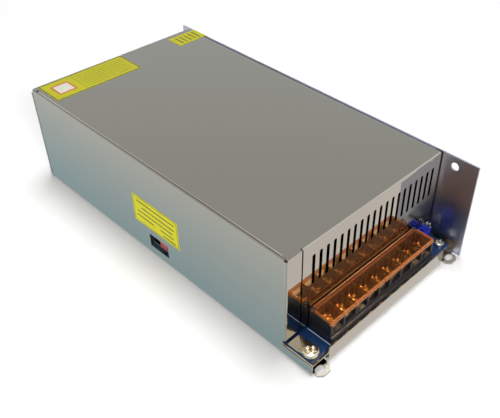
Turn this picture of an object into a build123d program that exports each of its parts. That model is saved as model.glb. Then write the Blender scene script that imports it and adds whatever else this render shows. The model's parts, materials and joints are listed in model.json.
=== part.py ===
from build123d import *
import math
import os

# Enclosed switching power supply in a case of folded sheet metal, with a nine-pole
# terminal block in an open bay at the front and a fan at the rear.
# Frame: origin at the middle of the base, +X to the tall polished side wall,
# +Y to the fan end, +Z up. Millimetres.

# Case, as bought
case_width = 125.0
case_height = 65.0
case_length = 240.0
ear_reach = 6.0
sheet = 1.0
bend = 1.0
bend_out = bend + sheet / 2
seam = 0.2
clearance = 0.3

# Terminal bay and front wall
bay_depth = 23.3
lip_setback = 5.0
lip_height = 10.0
ear_width = 11.0
bend_relief = 1.2
shelf_width = 13.0
return_width = 10.7
return_gap = 0.9
return_foot_gap = 1.7
vent_foot_gap = 0.7
ear_slot_length = 6.0
ear_slot_width = 4.2
ear_slot_inset = 4.0
ear_slot_edge = 2.5
ear_round = 2.4
side_hole = 5.0
side_hole_setback = 14.3
side_hole_drop = 6.0
corner_round = 3.0

# Slots in the front wall
slot_count = 20
slot_row_room = 22.4
slot_width = 2.2
slot_length = 19.4
slot_top_drop = 7.7
slot_row_x = 5.4

# Roof flanges and their screws
roof_flange = 11.0
cover_screw_drop = 7.0
m3 = 3.0
m3_clearance = 3.4
m4 = 4.0
m4_clearance = 4.4

# Main board
board_thickness = 1.6
board_rise = 6.7
board_front_setback = 6.6
board_rear_space = 5.5
board_side_gap = 1.6
board_right_gap = 4.0
standoff_width = 6.0

# Terminal block
pole_count = 9
block_room = 39.5
barrier = 1.2
end_wall = 1.5
block_x = -1.8
block_front_setback = 6.4
block_rear_gap = 0.4
block_base = 4.7
block_ledge = 1.6
barrier_rise = 8.0
barrier_notch = 1.3
block_back = 2.0
block_back_drop = 1.1
plate_depth = 9.0
plate_thickness = 0.8
washer_thickness = 1.0
head_inset = 0.4
terminal_head_height = 2.4
screw_setback = 15.0

# Flip cover on the terminal block
flap_thickness = 1.0
flap_slope = 0.7
flap_barrel = 1.3
flap_pin = 0.8
pin_fit = 0.05
hinge_ear = 1.7
hinge_rise = 0.6
flap_skirt = 2.3

# Fan
fan_room = 5.0
fan_foot = 1.5
fan_depth = 25.0
fan_rim = 1.5
fan_hole_inset = 5.0
fan_flange = 3.6
fan_hub = 26.0
fan_blades = 7
fan_tip_gap = 1.0
fan_shaft = 3.0
blade_thickness = 1.3
grille_rings = 4
grille_start = 11.0
grille_edge = 1.3
grille_web = 1.4
grille_spoke = 3.0

# Numbers of flats on small round forms
bore_flats = 32
fine_flats = 20
screw_flats = 12
hole_flats = 8
shank_flats = 6

# Voltage selector in the left wall
selector_setback = 123.1
selector_length = 16.5
selector_height = 8.8
selector_rise = 6.5
slider_length = 6.6
slider_height = 4.6
slider_travel = 7.0
slide_gap = 0.2

# Stickers
sticker = 0.1
top_label_inset = 4.0
top_label_length = 60.5
top_label_depth = 22.5
top_label_setback = 8.0
seal_length = 23.0
seal_depth = 13.0
seal_setback = 11.0
side_label_lead = 19.4
side_label_length = 39.8
side_label_rise = 19.5
side_label_height = 19.5

# Derived places
front_y = -(case_length + ear_reach) / 2
rear_y = -front_y
left_x = -case_width / 2
right_x = case_width / 2
lip_y = front_y + lip_setback
vent_y = front_y + bay_depth
body_rear_y = front_y + case_length
floor_z = sheet
roof_z = case_height - sheet
left_c = left_x + sheet / 2
right_c = right_x - sheet / 2
floor_c = sheet / 2
roof_c = case_height - sheet / 2
vent_c = vent_y + sheet / 2
rear_c = body_rear_y - sheet / 2
inner_rear_y = body_rear_y - sheet
board_z = board_rise
board_top = board_rise + board_thickness
return_bottom = board_top + return_foot_gap
ear_slot_x = right_x - ear_slot_length / 2 - ear_slot_edge
ear_slot_y = rear_y - ear_slot_inset
fan_size = case_height - fan_room
fan_bore = fan_size - 2 * fan_rim
fan_hole_spacing = fan_size - 2 * fan_hole_inset
grille_pitch = (fan_bore / 2 - grille_edge - grille_start + grille_web) / grille_rings
slot_pitch = (case_width - slot_row_room) / slot_count
pole_pitch = (case_width - block_room) / pole_count
fan_x = 0.0
fan_z = floor_z + fan_foot + fan_size / 2
fan_rear_y = inner_rear_y
fan_front_y = fan_rear_y - fan_depth
board_rear_y = fan_front_y - board_rear_space
block_length = pole_count * pole_pitch + barrier + 2 * (end_wall - barrier)
block_front_y = front_y + block_front_setback
block_rear_y = vent_y - block_rear_gap
screw_y = front_y + screw_setback
pole_xs = [block_x + (i - (pole_count - 1) / 2) * pole_pitch for i in range(pole_count)]
wall_xs = [block_x + (i - pole_count / 2) * pole_pitch for i in range(pole_count + 1)]
deck_z = board_top + block_base
plate_width = pole_pitch - barrier - clearance
washer_width = plate_width - 2 * clearance
terminal_head = washer_width - 2 * head_inset

# The board's layout was drawn for this case width and for this run of board behind the front wall
layout_width = 125.0
layout_start = -99.7
layout_run = 185.2
wide = case_width / layout_width
deep = (board_rear_y - vent_y) / layout_run
snug = min(wide, deep)

os.makedirs("parts", exist_ok=True)


def spot(x, y):
    """A place on the main board that keeps its share of the case's width and of the board's run."""
    return (x * wide, vent_y + (y - layout_start) * deep)


def write(builder, name):
    """Label a finished piece and write its own file."""
    builder.part.label = name
    export_step(builder.part, f"parts/{name}.step")


def near(corners):
    """A filter for the vertices that lie on any of the given corners."""
    return lambda v: any(math.dist((v.X, v.Y), corner) < seam for corner in corners)


def flare(top, bottom, depth):
    """The slope in degrees of the flats between two screw-sided outlines, one a depth below the other."""
    return math.degrees(math.atan((top - bottom) * math.cos(math.pi / screw_flats) / depth))


def strip(points):
    """The section of a strip of sheet folded square along the given middle line, its bends round outside."""
    left, right, outer = [], [], []
    half = sheet / 2
    runs = [(b[0] - a[0], b[1] - a[1]) for a, b in zip(points, points[1:])]
    sides = [(-dy / math.hypot(dx, dy), dx / math.hypot(dx, dy)) for dx, dy in runs]
    for i, (x, y) in enumerate(points):
        near_sides = sides[max(i - 1, 0) : i + 1]
        shift_x = half * sum(side[0] for side in near_sides)
        shift_y = half * sum(side[1] for side in near_sides)
        left.append((x + shift_x, y + shift_y))
        right.append((x - shift_x, y - shift_y))
        if len(near_sides) == 2:
            turn = runs[i - 1][0] * runs[i][1] - runs[i - 1][1] * runs[i][0]
            outer.append(right[-1] if turn > 0 else left[-1])
    with BuildSketch(Plane.XY) as section:
        with BuildLine():
            Polyline(*left, *reversed(right), close=True)
        make_face()
        fillet(vertices().filter_by(near(outer)), radius=bend_out)
    return section.sketch


# Chassis: floor, both side walls, lip, shelf, return flanges and ears in one folded sheet
low_c = board_z - sheet / 2
side_hole_y = front_y + side_hole_setback
side_hole_z = case_height - side_hole_drop
wall_end_y = inner_rear_y - bend_out
return_x = left_x + return_width
lip_left_x = left_x + shelf_width
lip_right_x = right_x - ear_width - bend_relief
rear_return_z = 3.0
rear_return_top = roof_z - bend
flush_head = 5.4
sink_rim = flush_head / 2 + seam
clip_screw_x = left_x + 4.5
clip_screw_y = front_y + 9.9
corner_spot = (right_x - 7.6, front_y + 11.0)
standoff_spots = [
    corner_spot,
    spot(-54.5, -46.0),
    spot(49.0, -60.5),
    spot(-16.0, -10.0),
    spot(-30.0, 78.0),
    spot(30.0, 78.0),
    spot(54.0, 60.0),
]
selector_y = front_y + selector_setback
selector_z = selector_rise + selector_height / 2
cover_screw_front = 30.0
cover_screw_rear = 40.0
cover_screw_ys = [vent_y + cover_screw_front, 0.0, body_rear_y - cover_screw_rear]
cover_screw_z = case_height - cover_screw_drop
rear_screw_inset = 14.0
rear_screw_edge = 5.6
rear_screw_zs = [rear_screw_inset, case_height - rear_screw_inset]
rear_screw_x = left_x + rear_screw_edge

with BuildPart() as chassis:
    # body behind the front wall: floor and both full walls
    with BuildSketch(Plane.XZ.offset(-wall_end_y)):
        add(strip([(left_c, case_height), (left_c, floor_c), (right_c, floor_c), (right_c, case_height)]))
    extrude(amount=wall_end_y - vent_y - bend_out)
    # terminal bay: low left wall with its shelf, floor and the tall right wall
    with BuildSketch(Plane.XZ.offset(-vent_y - bend_out)):
        add(strip(
            [
                (left_x + shelf_width, low_c),
                (left_c, low_c),
                (left_c, floor_c),
                (right_c, floor_c),
                (right_c, case_height),
            ]
        ))
    extrude(amount=vent_y + bend_out - lip_y)
    # the last stretch of floor and right wall behind the left wall's end
    with BuildSketch(Plane.XZ.offset(-inner_rear_y)):
        add(strip([(left_x + bend_out, floor_c), (right_c, floor_c), (right_c, case_height)]))
    extrude(amount=bend_out)
    # the right wall runs past the body at both ends
    with BuildSketch(Plane.YZ.offset(right_x - sheet)):
        with BuildLine():
            Polyline(
                (front_y, bend_out),
                (rear_y, bend_out),
                (rear_y, case_height),
                (front_y, case_height),
                (front_y, bend_out),
            )
        outline = make_face()
        fillet(outline.vertices().group_by(Axis.Y)[0].sort_by(Axis.Z)[-1:], radius=corner_round)
    extrude(amount=sheet)
    # front return flange of the left wall
    with BuildSketch(Plane.XY.offset(return_bottom)):
        add(strip([(left_c, vent_y + 2 * bend_out), (left_c, vent_c), (return_x, vent_c)]))
    extrude(amount=roof_z - return_bottom)
    # rear return flange of the left wall
    with BuildSketch(Plane.XY.offset(rear_return_z)):
        add(strip(
            [
                (left_c, wall_end_y - bend_out),
                (left_c, inner_rear_y - sheet / 2),
                (return_x, inner_rear_y - sheet / 2),
            ]
        ))
    extrude(amount=rear_return_top - rear_return_z)
    # front edge of the floor between the ears gives way to the lip's bend
    with BuildSketch():
        with Locations(((lip_left_x + lip_right_x) / 2, lip_y)):
            Rectangle(lip_right_x - lip_left_x, 2 * bend_out)
        with Locations(
            (lip_left_x - bend_relief / 2, lip_y),
            (lip_right_x + bend_relief / 2, lip_y),
        ):
            Rectangle(bend_relief, 4 * bend_out)
    extrude(amount=2 * sheet, both=True, mode=Mode.SUBTRACT)
    with BuildSketch(Plane.YZ.offset(lip_left_x)):
        add(strip(
            [
                (lip_y + 2 * bend_out, floor_c),
                (lip_y + sheet / 2, floor_c),
                (lip_y + sheet / 2, lip_height),
            ]
        ))
    extrude(amount=lip_right_x - lip_left_x)
    # flat mounting ears past the front and the rear
    ear_root = 2 * bend_out
    for side in (-1, 1):
        ear_x = side * (right_x - bend_out - (ear_width - bend_out) / 2)
        with BuildSketch():
            with Locations((ear_x, front_y)):
                Rectangle(
                    ear_width - bend_out,
                    lip_setback + ear_root,
                    align=(Align.CENTER, Align.MIN),
                )
            chamfer(vertices().group_by(Axis.Y)[0], length=ear_round)
        extrude(amount=sheet)
        with BuildSketch():
            with Locations((ear_x, rear_y)):
                Rectangle(
                    ear_width - bend_out,
                    ear_reach + ear_root,
                    align=(Align.CENTER, Align.MAX),
                )
            chamfer(vertices().group_by(Axis.Y)[-1], length=ear_round)
        extrude(amount=sheet)
    # slots in the ears
    with BuildSketch():
        with Locations(
            (ear_slot_x, ear_slot_y),
            (-ear_slot_x, ear_slot_y),
            (ear_slot_x, -ear_slot_y),
            (-ear_slot_x, -ear_slot_y),
        ):
            SlotOverall(ear_slot_length, ear_slot_width)
    extrude(amount=2 * sheet, both=True, mode=Mode.SUBTRACT)
    # holes in the floor for the standoffs, and the thread of the clip's screw in the shelf
    with BuildSketch():
        with Locations(*standoff_spots):
            RegularPolygon(m4 / 2, shank_flats)
    extrude(amount=sheet, mode=Mode.SUBTRACT)
    with BuildSketch(Plane.XY.offset(board_z - sheet)):
        with Locations((clip_screw_x, clip_screw_y)):
            RegularPolygon(m4 / 2, shank_flats)
    extrude(amount=sheet, mode=Mode.SUBTRACT)
    # holes in the right wall: one for mounting, three for the cover's screws
    with BuildSketch(Plane.YZ.offset(right_x - sheet)):
        with Locations((side_hole_y, side_hole_z)):
            Circle(side_hole / 2)
    extrude(amount=sheet, mode=Mode.SUBTRACT)
    with BuildSketch(Plane.YZ.offset(right_x)):
        with Locations(*[(y, cover_screw_z) for y in cover_screw_ys]):
            RegularPolygon(sink_rim, screw_flats)
    extrude(amount=-sheet, taper=flare(sink_rim, m3_clearance / 2, sheet), mode=Mode.SUBTRACT)
    # holes in the rear return flange
    with BuildSketch(Plane.XZ.offset(-inner_rear_y)):
        with Locations(*[(rear_screw_x, z) for z in rear_screw_zs]):
            RegularPolygon(m3 / 2, shank_flats)
    extrude(amount=sheet, mode=Mode.SUBTRACT)
    # window for the voltage selector
    with BuildSketch(Plane.YZ.offset(left_x)):
        with Locations((selector_y, selector_z)):
            Rectangle(selector_length, selector_height)
    extrude(amount=sheet, mode=Mode.SUBTRACT)
write(chassis, "chassis")


# Top cover: roof, slotted front wall, rear wall with the fan's grille, side flanges
roof_left_x = left_x + sheet + seam
roof_right_x = right_x - sheet - seam
vent_left_x = return_x + return_gap
vent_right_x = roof_right_x - return_gap
vent_bottom = board_top + vent_foot_gap
rear_bottom = sheet + seam
slot_z = case_height - slot_top_drop - slot_length / 2

with BuildSketch(Plane.XY) as vent_slot:
    slot_run_z = slot_length - slot_width
    Rectangle(slot_width, slot_run_z)
    with GridLocations(1, slot_run_z, 1, 2):
        RegularPolygon(slot_width / 2, screw_flats, major_radius=False, rotation=180 / screw_flats)

with BuildPart() as top_cover:
    # roof
    with BuildSketch(Plane.XY.offset(roof_z)):
        with Locations(((roof_left_x + roof_right_x) / 2, (vent_y + body_rear_y) / 2)):
            Rectangle(
                roof_right_x - roof_left_x - 2 * bend_out,
                body_rear_y - vent_y - 2 * bend_out,
            )
        with Locations((roof_left_x, vent_y)):
            Rectangle(
                vent_left_x - roof_left_x - return_gap,
                3 * bend_out,
                align=(Align.MIN, Align.MIN),
            )
    extrude(amount=sheet)
    # side flanges tucked inside the side walls
    with BuildSketch(Plane.XZ.offset(-body_rear_y + 4 * bend_out)):
        add(strip(
            [
                (roof_left_x + sheet / 2, case_height - roof_flange),
                (roof_left_x + sheet / 2, roof_c),
                (roof_right_x - sheet / 2, roof_c),
                (roof_right_x - sheet / 2, case_height - roof_flange),
            ]
        ))
    extrude(amount=body_rear_y - vent_y - 7 * bend_out)
    # front wall
    with BuildSketch(Plane.YZ.offset(vent_left_x)):
        add(strip([(vent_c, vent_bottom), (vent_c, roof_c), (vent_c + 3 * bend_out, roof_c)]))
    extrude(amount=vent_right_x - vent_left_x)
    # rear wall
    with BuildSketch(Plane.YZ.offset(roof_left_x)):
        add(strip([(rear_c, rear_bottom), (rear_c, roof_c), (rear_c - 3 * bend_out, roof_c)]))
    extrude(amount=roof_right_x - roof_left_x)
    with BuildSketch(Plane.XZ.offset(-body_rear_y)):
        with Locations((left_x + seam, rear_bottom)):
            Rectangle(
                sheet + bend_out,
                roof_z - bend_out - rear_bottom,
                align=(Align.MIN, Align.MIN),
            )
    extrude(amount=sheet)
    # upright round-ended slots over the terminals
    with BuildSketch(Plane.XZ.offset(-vent_y - sheet)):
        with Locations((slot_row_x, slot_z)):
            with GridLocations(slot_pitch, slot_length, slot_count, 1):
                add(vent_slot.sketch)
    extrude(amount=sheet, mode=Mode.SUBTRACT)
    # fan grille: rings of openings with spokes between them
    with BuildSketch(Plane.XZ.offset(-body_rear_y)):
        with Locations((fan_x, fan_z)):
            for ring in reversed(range(grille_rings)):
                ring_radius = grille_start + ring * grille_pitch
                RegularPolygon(ring_radius + grille_pitch - grille_web, fine_flats)
                RegularPolygon(ring_radius, fine_flats, mode=Mode.SUBTRACT)
            for spoke_angle in (45, 135):
                Rectangle(fan_size, grille_spoke, rotation=spoke_angle, mode=Mode.SUBTRACT)
            with GridLocations(fan_hole_spacing, fan_hole_spacing, 2, 2):
                RegularPolygon(m4_clearance / 2, hole_flats, major_radius=False)
        with Locations(*[(rear_screw_x, z) for z in rear_screw_zs]):
            RegularPolygon(m3_clearance / 2, hole_flats, major_radius=False)
    extrude(amount=sheet, mode=Mode.SUBTRACT)
    # threaded holes of the right flange
    with BuildSketch(Plane.YZ.offset(roof_right_x - sheet)):
        with Locations(*[(y, cover_screw_z) for y in cover_screw_ys]):
            RegularPolygon(m3 / 2, screw_flats)
    extrude(amount=sheet, mode=Mode.SUBTRACT)
write(top_cover, "top_cover")


# Small shared shapes
thread_gap = 0.05


def pan_screw(size, head, head_height, length, flats=hole_flats):
    """A screw hanging from the origin, its head above."""
    with BuildPart(Plane.XY) as screw:
        with BuildSketch(Plane.XY):
            RegularPolygon(head / 2, flats)
        extrude(amount=head_height)
        with BuildSketch(Plane.XY):
            RegularPolygon(size / 2 - thread_gap, shank_flats)
        extrude(amount=-length)
    return screw.part


def flush_screw(size, head, depth, length):
    """A screw with a conical head that ends level with the origin."""
    shank = size / 2 - thread_gap
    with BuildPart(Plane.XY) as screw:
        with BuildSketch(Plane.XY):
            RegularPolygon(head / 2, screw_flats)
        extrude(amount=-depth, taper=flare(head / 2, shank, depth))
        with BuildSketch(Plane.XY.offset(-depth)):
            RegularPolygon(shank, screw_flats)
        extrude(amount=depth - length)
    return screw.part


def block(x_span, y_span, z_span):
    """A plain box between two values on each axis."""
    with BuildPart(Plane.XY) as solid:
        with BuildSketch(Plane.XY.offset(z_span[0])):
            with Locations((x_span[0], y_span[0])):
                Rectangle(x_span[1] - x_span[0], y_span[1] - y_span[0], align=(Align.MIN, Align.MIN))
        extrude(amount=z_span[1] - z_span[0])
    return solid.part


# Screws of the cover: three flush ones in the right wall, two at the rear
cover_screw_length = 7.0
m3_head = 5.6
m3_head_height = 2.0
side_screw = flush_screw(m3, flush_head, sheet, cover_screw_length)
rear_screw = pan_screw(m3, m3_head, m3_head_height, cover_screw_length)

with BuildPart() as cover_screws:
    for screw_y_at in cover_screw_ys:
        with Locations(Location((right_x, screw_y_at, cover_screw_z), (0, 90, 0))):
            add(side_screw)
write(cover_screws, "cover_screws")

with BuildPart() as rear_screws:
    for z in rear_screw_zs:
        with Locations(Location((rear_screw_x, body_rear_y, z), (-90, 0, 0))):
            add(rear_screw)
write(rear_screws, "rear_screws")


# Main board and what carries it
board_left_x = left_x + board_side_gap
board_right_x = right_x - board_right_gap
board_front_y = front_y + board_front_setback
standoff_head = 1.0
board_screw_length = 6.0
m3_hole_fit = 0.2
film_thickness = 0.3
film_hole = 9.0
clip_hole = m4 + 2 * m3_hole_fit

with BuildPart() as main_board:
    with BuildSketch(Plane.XY.offset(board_z)):
        with Locations((board_left_x, board_front_y)):
            Rectangle(
                board_right_x - board_left_x,
                board_rear_y - board_front_y,
                align=(Align.MIN, Align.MIN),
            )
        with Locations(*standoff_spots):
            RegularPolygon(m3 / 2 + m3_hole_fit, hole_flats, mode=Mode.SUBTRACT)
        with Locations((clip_screw_x, clip_screw_y)):
            RegularPolygon(clip_hole / 2, hole_flats, mode=Mode.SUBTRACT)
    extrude(amount=board_thickness)
write(main_board, "main_board")

with BuildPart() as insulating_film:
    with BuildSketch(Plane.XY.offset(floor_z)):
        with Locations((0, (vent_y + fan_front_y) / 2)):
            Rectangle(case_width - 2 * sheet - 4 * bend, fan_front_y - vent_y)
        with Locations(*standoff_spots[1:]):
            RegularPolygon(film_hole / 2, shank_flats, mode=Mode.SUBTRACT)
    extrude(amount=film_thickness)
write(insulating_film, "insulating_film")

with BuildPart() as board_standoffs:
    with BuildSketch(Plane.XY.offset(floor_z)):
        with Locations(*standoff_spots):
            RegularPolygon(standoff_width / 2, 6, major_radius=False)
    extrude(amount=board_z - floor_z)
    with BuildSketch(Plane.XY.offset(sheet - standoff_head)):
        with Locations(*standoff_spots):
            RegularPolygon(m4 / 2 - thread_gap, shank_flats)
    extrude(amount=standoff_head)
    with BuildSketch(Plane.XY.offset(sheet)):
        with Locations(*standoff_spots):
            RegularPolygon(m3 / 2, shank_flats)
    extrude(amount=board_z - sheet, mode=Mode.SUBTRACT)
write(board_standoffs, "board_standoffs")

board_screw = pan_screw(m3, m3_head, m3_head_height, board_screw_length)
with BuildPart() as board_screws:
    with Locations(*[(x, y, board_top) for x, y in standoff_spots]):
        add(board_screw)
write(board_screws, "board_screws")


# Grounding clip at the front left corner of the board
clip_thickness = 0.6
clip_lift = 0.7
clip_left_x = left_x + sheet + clearance
clip_right_x = left_x + 9.7
clip_front_y = front_y + 6.9
clip_rear_y = front_y + 22.4
clip_bend_y = front_y + 15.0
clip_corner = 2.0
clip_boss = 3.2
m4_head = 8.0
m4_head_height = 2.2
clip_screw_length = 6.5

with BuildPart() as board_clip:
    clip_low = board_top + clip_thickness / 2
    with BuildSketch(Plane.YZ.offset(clip_left_x)):
        with BuildLine():
            Polyline(
                (clip_rear_y, clip_low),
                (clip_bend_y + clip_lift, clip_low),
                (clip_bend_y, clip_low + clip_lift),
                (clip_front_y, clip_low + clip_lift),
            )
        trace(line_width=clip_thickness)
    extrude(amount=clip_right_x - clip_left_x)
    front_corners = (
        board_clip.edges()
        .filter_by(Axis.Z)
        .filter_by(lambda e: abs(e.center().Y - clip_front_y) < thread_gap)
    )
    chamfer(front_corners, length=clip_corner)
    with BuildSketch(Plane.XY.offset(board_top)):
        with Locations((clip_screw_x, clip_screw_y)):
            RegularPolygon(clip_boss, screw_flats)
    extrude(amount=clip_lift)
    with BuildSketch(Plane.XY.offset(board_top)):
        with Locations((clip_screw_x, clip_screw_y)):
            RegularPolygon(clip_hole / 2, hole_flats)
    extrude(amount=clip_lift + clip_thickness, mode=Mode.SUBTRACT)
write(board_clip, "board_clip")

big_screw = pan_screw(m4, m4_head, m4_head_height, clip_screw_length, screw_flats)
with BuildPart() as clip_screw:
    with Locations((clip_screw_x, clip_screw_y, board_top + clip_lift + clip_thickness)):
        add(big_screw)
write(clip_screw, "clip_screw")


# Terminal block: one moulding with barriers between the poles
hinge_y = block_rear_y - hinge_ear
barrier_top = deck_z + barrier_rise
hinge_z = barrier_top + hinge_rise
block_left = block_x - block_length / 2
block_right = block_x + block_length / 2
barrier_front_y = block_front_y + block_ledge
back_front_y = block_rear_y - block_back
back_top = barrier_top - block_back_drop
barrier_back_y = hinge_y - flap_barrel - clearance
pole_hole = 4.4
pole_hole_depth = 3.4


def barrier_outline(rear, rear_top):
    """The side view of one barrier with its notched front corner, in the current sketch's plane."""
    with BuildSketch(Plane.XY) as outline:
        with BuildLine():
            Polyline(
                (barrier_front_y, board_top),
                (barrier_front_y, barrier_top - barrier_notch),
                (barrier_front_y + barrier_notch, barrier_top - barrier_notch),
                (barrier_front_y + barrier_notch, barrier_top),
                (rear, barrier_top),
                (rear, rear_top),
                (block_rear_y, rear_top),
                (block_rear_y, board_top),
                (barrier_front_y, board_top),
            )
        make_face()
    return outline.sketch


with BuildPart() as terminal_block:
    with BuildSketch(Plane.YZ.offset(block_left)):
        with BuildLine():
            Polyline(
                (block_front_y, board_top),
                (block_front_y, deck_z - block_ledge),
                (barrier_front_y, deck_z - block_ledge),
                (barrier_front_y, deck_z),
                (back_front_y, deck_z),
                (back_front_y, back_top),
                (block_rear_y, back_top),
                (block_rear_y, board_top),
                (block_front_y, board_top),
            )
        make_face()
    extrude(amount=block_length)
    inner_barrier = barrier_outline(barrier_back_y, back_top)
    for x in wall_xs[1:-1]:
        with BuildSketch(Plane.YZ.offset(x - barrier / 2)):
            add(inner_barrier)
        extrude(amount=barrier)
    for x in (block_left, block_right - end_wall):
        with BuildSketch(Plane.YZ.offset(x)):
            add(barrier_outline(block_rear_y - 2 * hinge_ear, deck_z))
            with Locations((hinge_y, hinge_z)):
                RegularPolygon(hinge_ear, screw_flats)
                Rectangle(2 * hinge_ear, hinge_z - deck_z, align=(Align.CENTER, Align.MAX))
        extrude(amount=end_wall)
    # hinge holes
    for x in (block_left, block_right - end_wall):
        with BuildSketch(Plane.YZ.offset(x)):
            with Locations((hinge_y, hinge_z)):
                Circle(flap_pin + pin_fit)
        extrude(amount=end_wall, mode=Mode.SUBTRACT)
    # holes under the screws
    with BuildSketch(Plane.XY.offset(deck_z)):
        with Locations(*[(x, screw_y) for x in pole_xs]):
            RegularPolygon(pole_hole / 2, shank_flats)
    extrude(amount=-pole_hole_depth, mode=Mode.SUBTRACT)
write(terminal_block, "terminal_block")

with BuildPart() as terminal_plates:
    with BuildSketch(Plane.XY.offset(deck_z)):
        with Locations(*[(x, screw_y) for x in pole_xs]):
            Rectangle(plate_width, plate_depth)
            RegularPolygon(m4 / 2, shank_flats, mode=Mode.SUBTRACT)
    extrude(amount=plate_thickness)
write(terminal_plates, "terminal_plates")

washer_z = deck_z + plate_thickness
with BuildPart() as terminal_washers:
    with BuildSketch(Plane.XY.offset(washer_z)):
        with Locations(*[(x, screw_y) for x in pole_xs]):
            Rectangle(washer_width, washer_width)
            RegularPolygon(m4 / 2 + m3_hole_fit, shank_flats, mode=Mode.SUBTRACT)
    extrude(amount=washer_thickness)
write(terminal_washers, "terminal_washers")

terminal_screw_length = 5.0
pole_size = m4 - 2 * thread_gap
pole_screw = pan_screw(
    pole_size, terminal_head, terminal_head_height, terminal_screw_length, screw_flats
)
with BuildPart() as terminal_screws:
    with Locations(*[(x, screw_y, washer_z + washer_thickness) for x in pole_xs]):
        add(pole_screw)
write(terminal_screws, "terminal_screws")


# Flip cover over the terminals, hinged in the block's end walls
flap_top = hinge_z + flap_barrel
flap_end_y = hinge_y - hinge_ear - clearance
flap_inner_left = block_left + end_wall + clearance
flap_inner_right = block_right - end_wall - clearance


def flap_outline(rear_y_at):
    """The side view of the flap's plate with its front skirt, up to the given rear edge."""
    drop = flap_slope * (hinge_y - rear_y_at) / (hinge_y - barrier_front_y)
    with BuildSketch(Plane.XY) as outline:
        with BuildLine():
            Polyline(
                (barrier_front_y, flap_top - flap_slope),
                (rear_y_at, flap_top - drop),
                (rear_y_at, flap_top - drop - flap_thickness),
                (barrier_front_y + flap_thickness, flap_top - flap_slope - flap_thickness),
                (barrier_front_y + flap_thickness, flap_top - flap_slope - flap_skirt),
                (barrier_front_y, flap_top - flap_slope - flap_skirt),
                (barrier_front_y, flap_top - flap_slope),
            )
        make_face()
    return outline.sketch


with BuildPart() as terminal_cover:
    with BuildSketch(Plane.YZ.offset(block_left)):
        add(flap_outline(flap_end_y))
    extrude(amount=block_length)
    with BuildSketch(Plane.YZ.offset(flap_inner_left)):
        add(flap_outline(hinge_y))
        with Locations((hinge_y, hinge_z)):
            RegularPolygon(flap_barrel, screw_flats)
    extrude(amount=flap_inner_right - flap_inner_left)
    with BuildSketch(Plane.YZ.offset(block_left + thread_gap)):
        with Locations((hinge_y, hinge_z)):
            Circle(flap_pin)
    extrude(amount=block_length - 2 * thread_gap)
write(terminal_cover, "terminal_cover")


# Voltage trimmer and indicator lamp at the right end of the block
trimmer_width = 7.0
trimmer_depth = 5.8
trimmer_height = 9.2
trimmer_x = right_x - 12.4
trimmer_y = vent_y - clearance - trimmer_depth / 2
rotor_radius = 1.9
rotor_sink = 1.2
rotor_proud = 0.5
rotor_slot = 0.6
trimmer_top = board_top + trimmer_height
lamp_x = right_x - 6.3
lamp_y = vent_y - 2.4
lamp_radius = 1.5
lamp_rim = 1.9
lamp_stand = 5.2
lamp_body = 3.6
lamp_flange = 1.2
lead_width = 0.6
lead_spacing = 2.54

with BuildPart() as trimmer_body:
    add(
        block(
            (trimmer_x - trimmer_width / 2, trimmer_x + trimmer_width / 2),
            (trimmer_y - trimmer_depth / 2, trimmer_y + trimmer_depth / 2),
            (board_top, trimmer_top),
        )
    )
    with BuildSketch(Plane.XY.offset(trimmer_top)):
        with Locations((trimmer_x, trimmer_y)):
            Circle(rotor_radius + clearance)
    extrude(amount=-rotor_sink, mode=Mode.SUBTRACT)
write(trimmer_body, "trimmer_body")

with BuildPart() as trimmer_rotor:
    with BuildSketch(Plane.XY.offset(trimmer_top - rotor_sink + pin_fit)):
        with Locations((trimmer_x, trimmer_y)):
            Circle(rotor_radius)
    extrude(amount=rotor_sink + rotor_proud - pin_fit)
    with BuildSketch(Plane.XY.offset(trimmer_top + rotor_proud)):
        with Locations((trimmer_x, trimmer_y)):
            Rectangle(2 * rotor_radius, rotor_slot, rotation=90)
    extrude(amount=-rotor_proud, mode=Mode.SUBTRACT)
write(trimmer_rotor, "trimmer_rotor")

with BuildPart() as indicator_lamp:
    with BuildSketch(Plane.XY.offset(board_top + lamp_stand)):
        with Locations((lamp_x, lamp_y)):
            RegularPolygon(lamp_rim, screw_flats)
    extrude(amount=lamp_flange)
    with BuildSketch(Plane.XY.offset(board_top + lamp_stand)):
        with Locations((lamp_x, lamp_y)):
            RegularPolygon(lamp_radius, screw_flats)
    extrude(amount=lamp_body + lamp_radius)
    chamfer(indicator_lamp.faces().sort_by(Axis.Z)[-1].edges(), length=lamp_radius / 2)
    with BuildSketch(Plane.XY.offset(board_top)):
        with Locations((lamp_x - lead_spacing / 2, lamp_y), (lamp_x + lead_spacing / 2, lamp_y)):
            Rectangle(lead_width, lead_width)
    extrude(amount=lamp_stand)
write(indicator_lamp, "indicator_lamp")


# Voltage selector behind the window in the left wall
selector_face_x = left_x + sheet + clearance
selector_depth = 8.0
selector_overhang = 1.2
selector_body_height = 8.2
slider_depth = 3.0
slider_proud = 0.6
slider_foot = 1.6
slider_foot_rim = 0.8
slot_run = slider_length + slider_travel + 2 * slide_gap
slider_z = board_top + selector_body_height / 2
slider_y = selector_y - slider_travel / 2
groove_depth = slider_depth
foot_x = selector_face_x + groove_depth
foot_bottom = foot_x + slider_foot + 2 * slide_gap

with BuildPart() as selector_body:
    add(
        block(
            (selector_face_x, selector_face_x + selector_depth),
            (
                selector_y - selector_length / 2 - selector_overhang,
                selector_y + selector_length / 2 + selector_overhang,
            ),
            (board_top, board_top + selector_body_height),
        )
    )
    with BuildSketch(Plane.YZ.offset(selector_face_x)):
        with Locations((selector_y, slider_z)):
            Rectangle(slot_run, slider_height + 2 * slide_gap)
    extrude(amount=groove_depth, mode=Mode.SUBTRACT)
    with BuildSketch(Plane.YZ.offset(foot_x)):
        with Locations((selector_y, slider_z)):
            Rectangle(slot_run, slider_height + 2 * slide_gap + 2 * slider_foot_rim)
    extrude(amount=foot_bottom - foot_x, mode=Mode.SUBTRACT)
write(selector_body, "selector_body")

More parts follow.
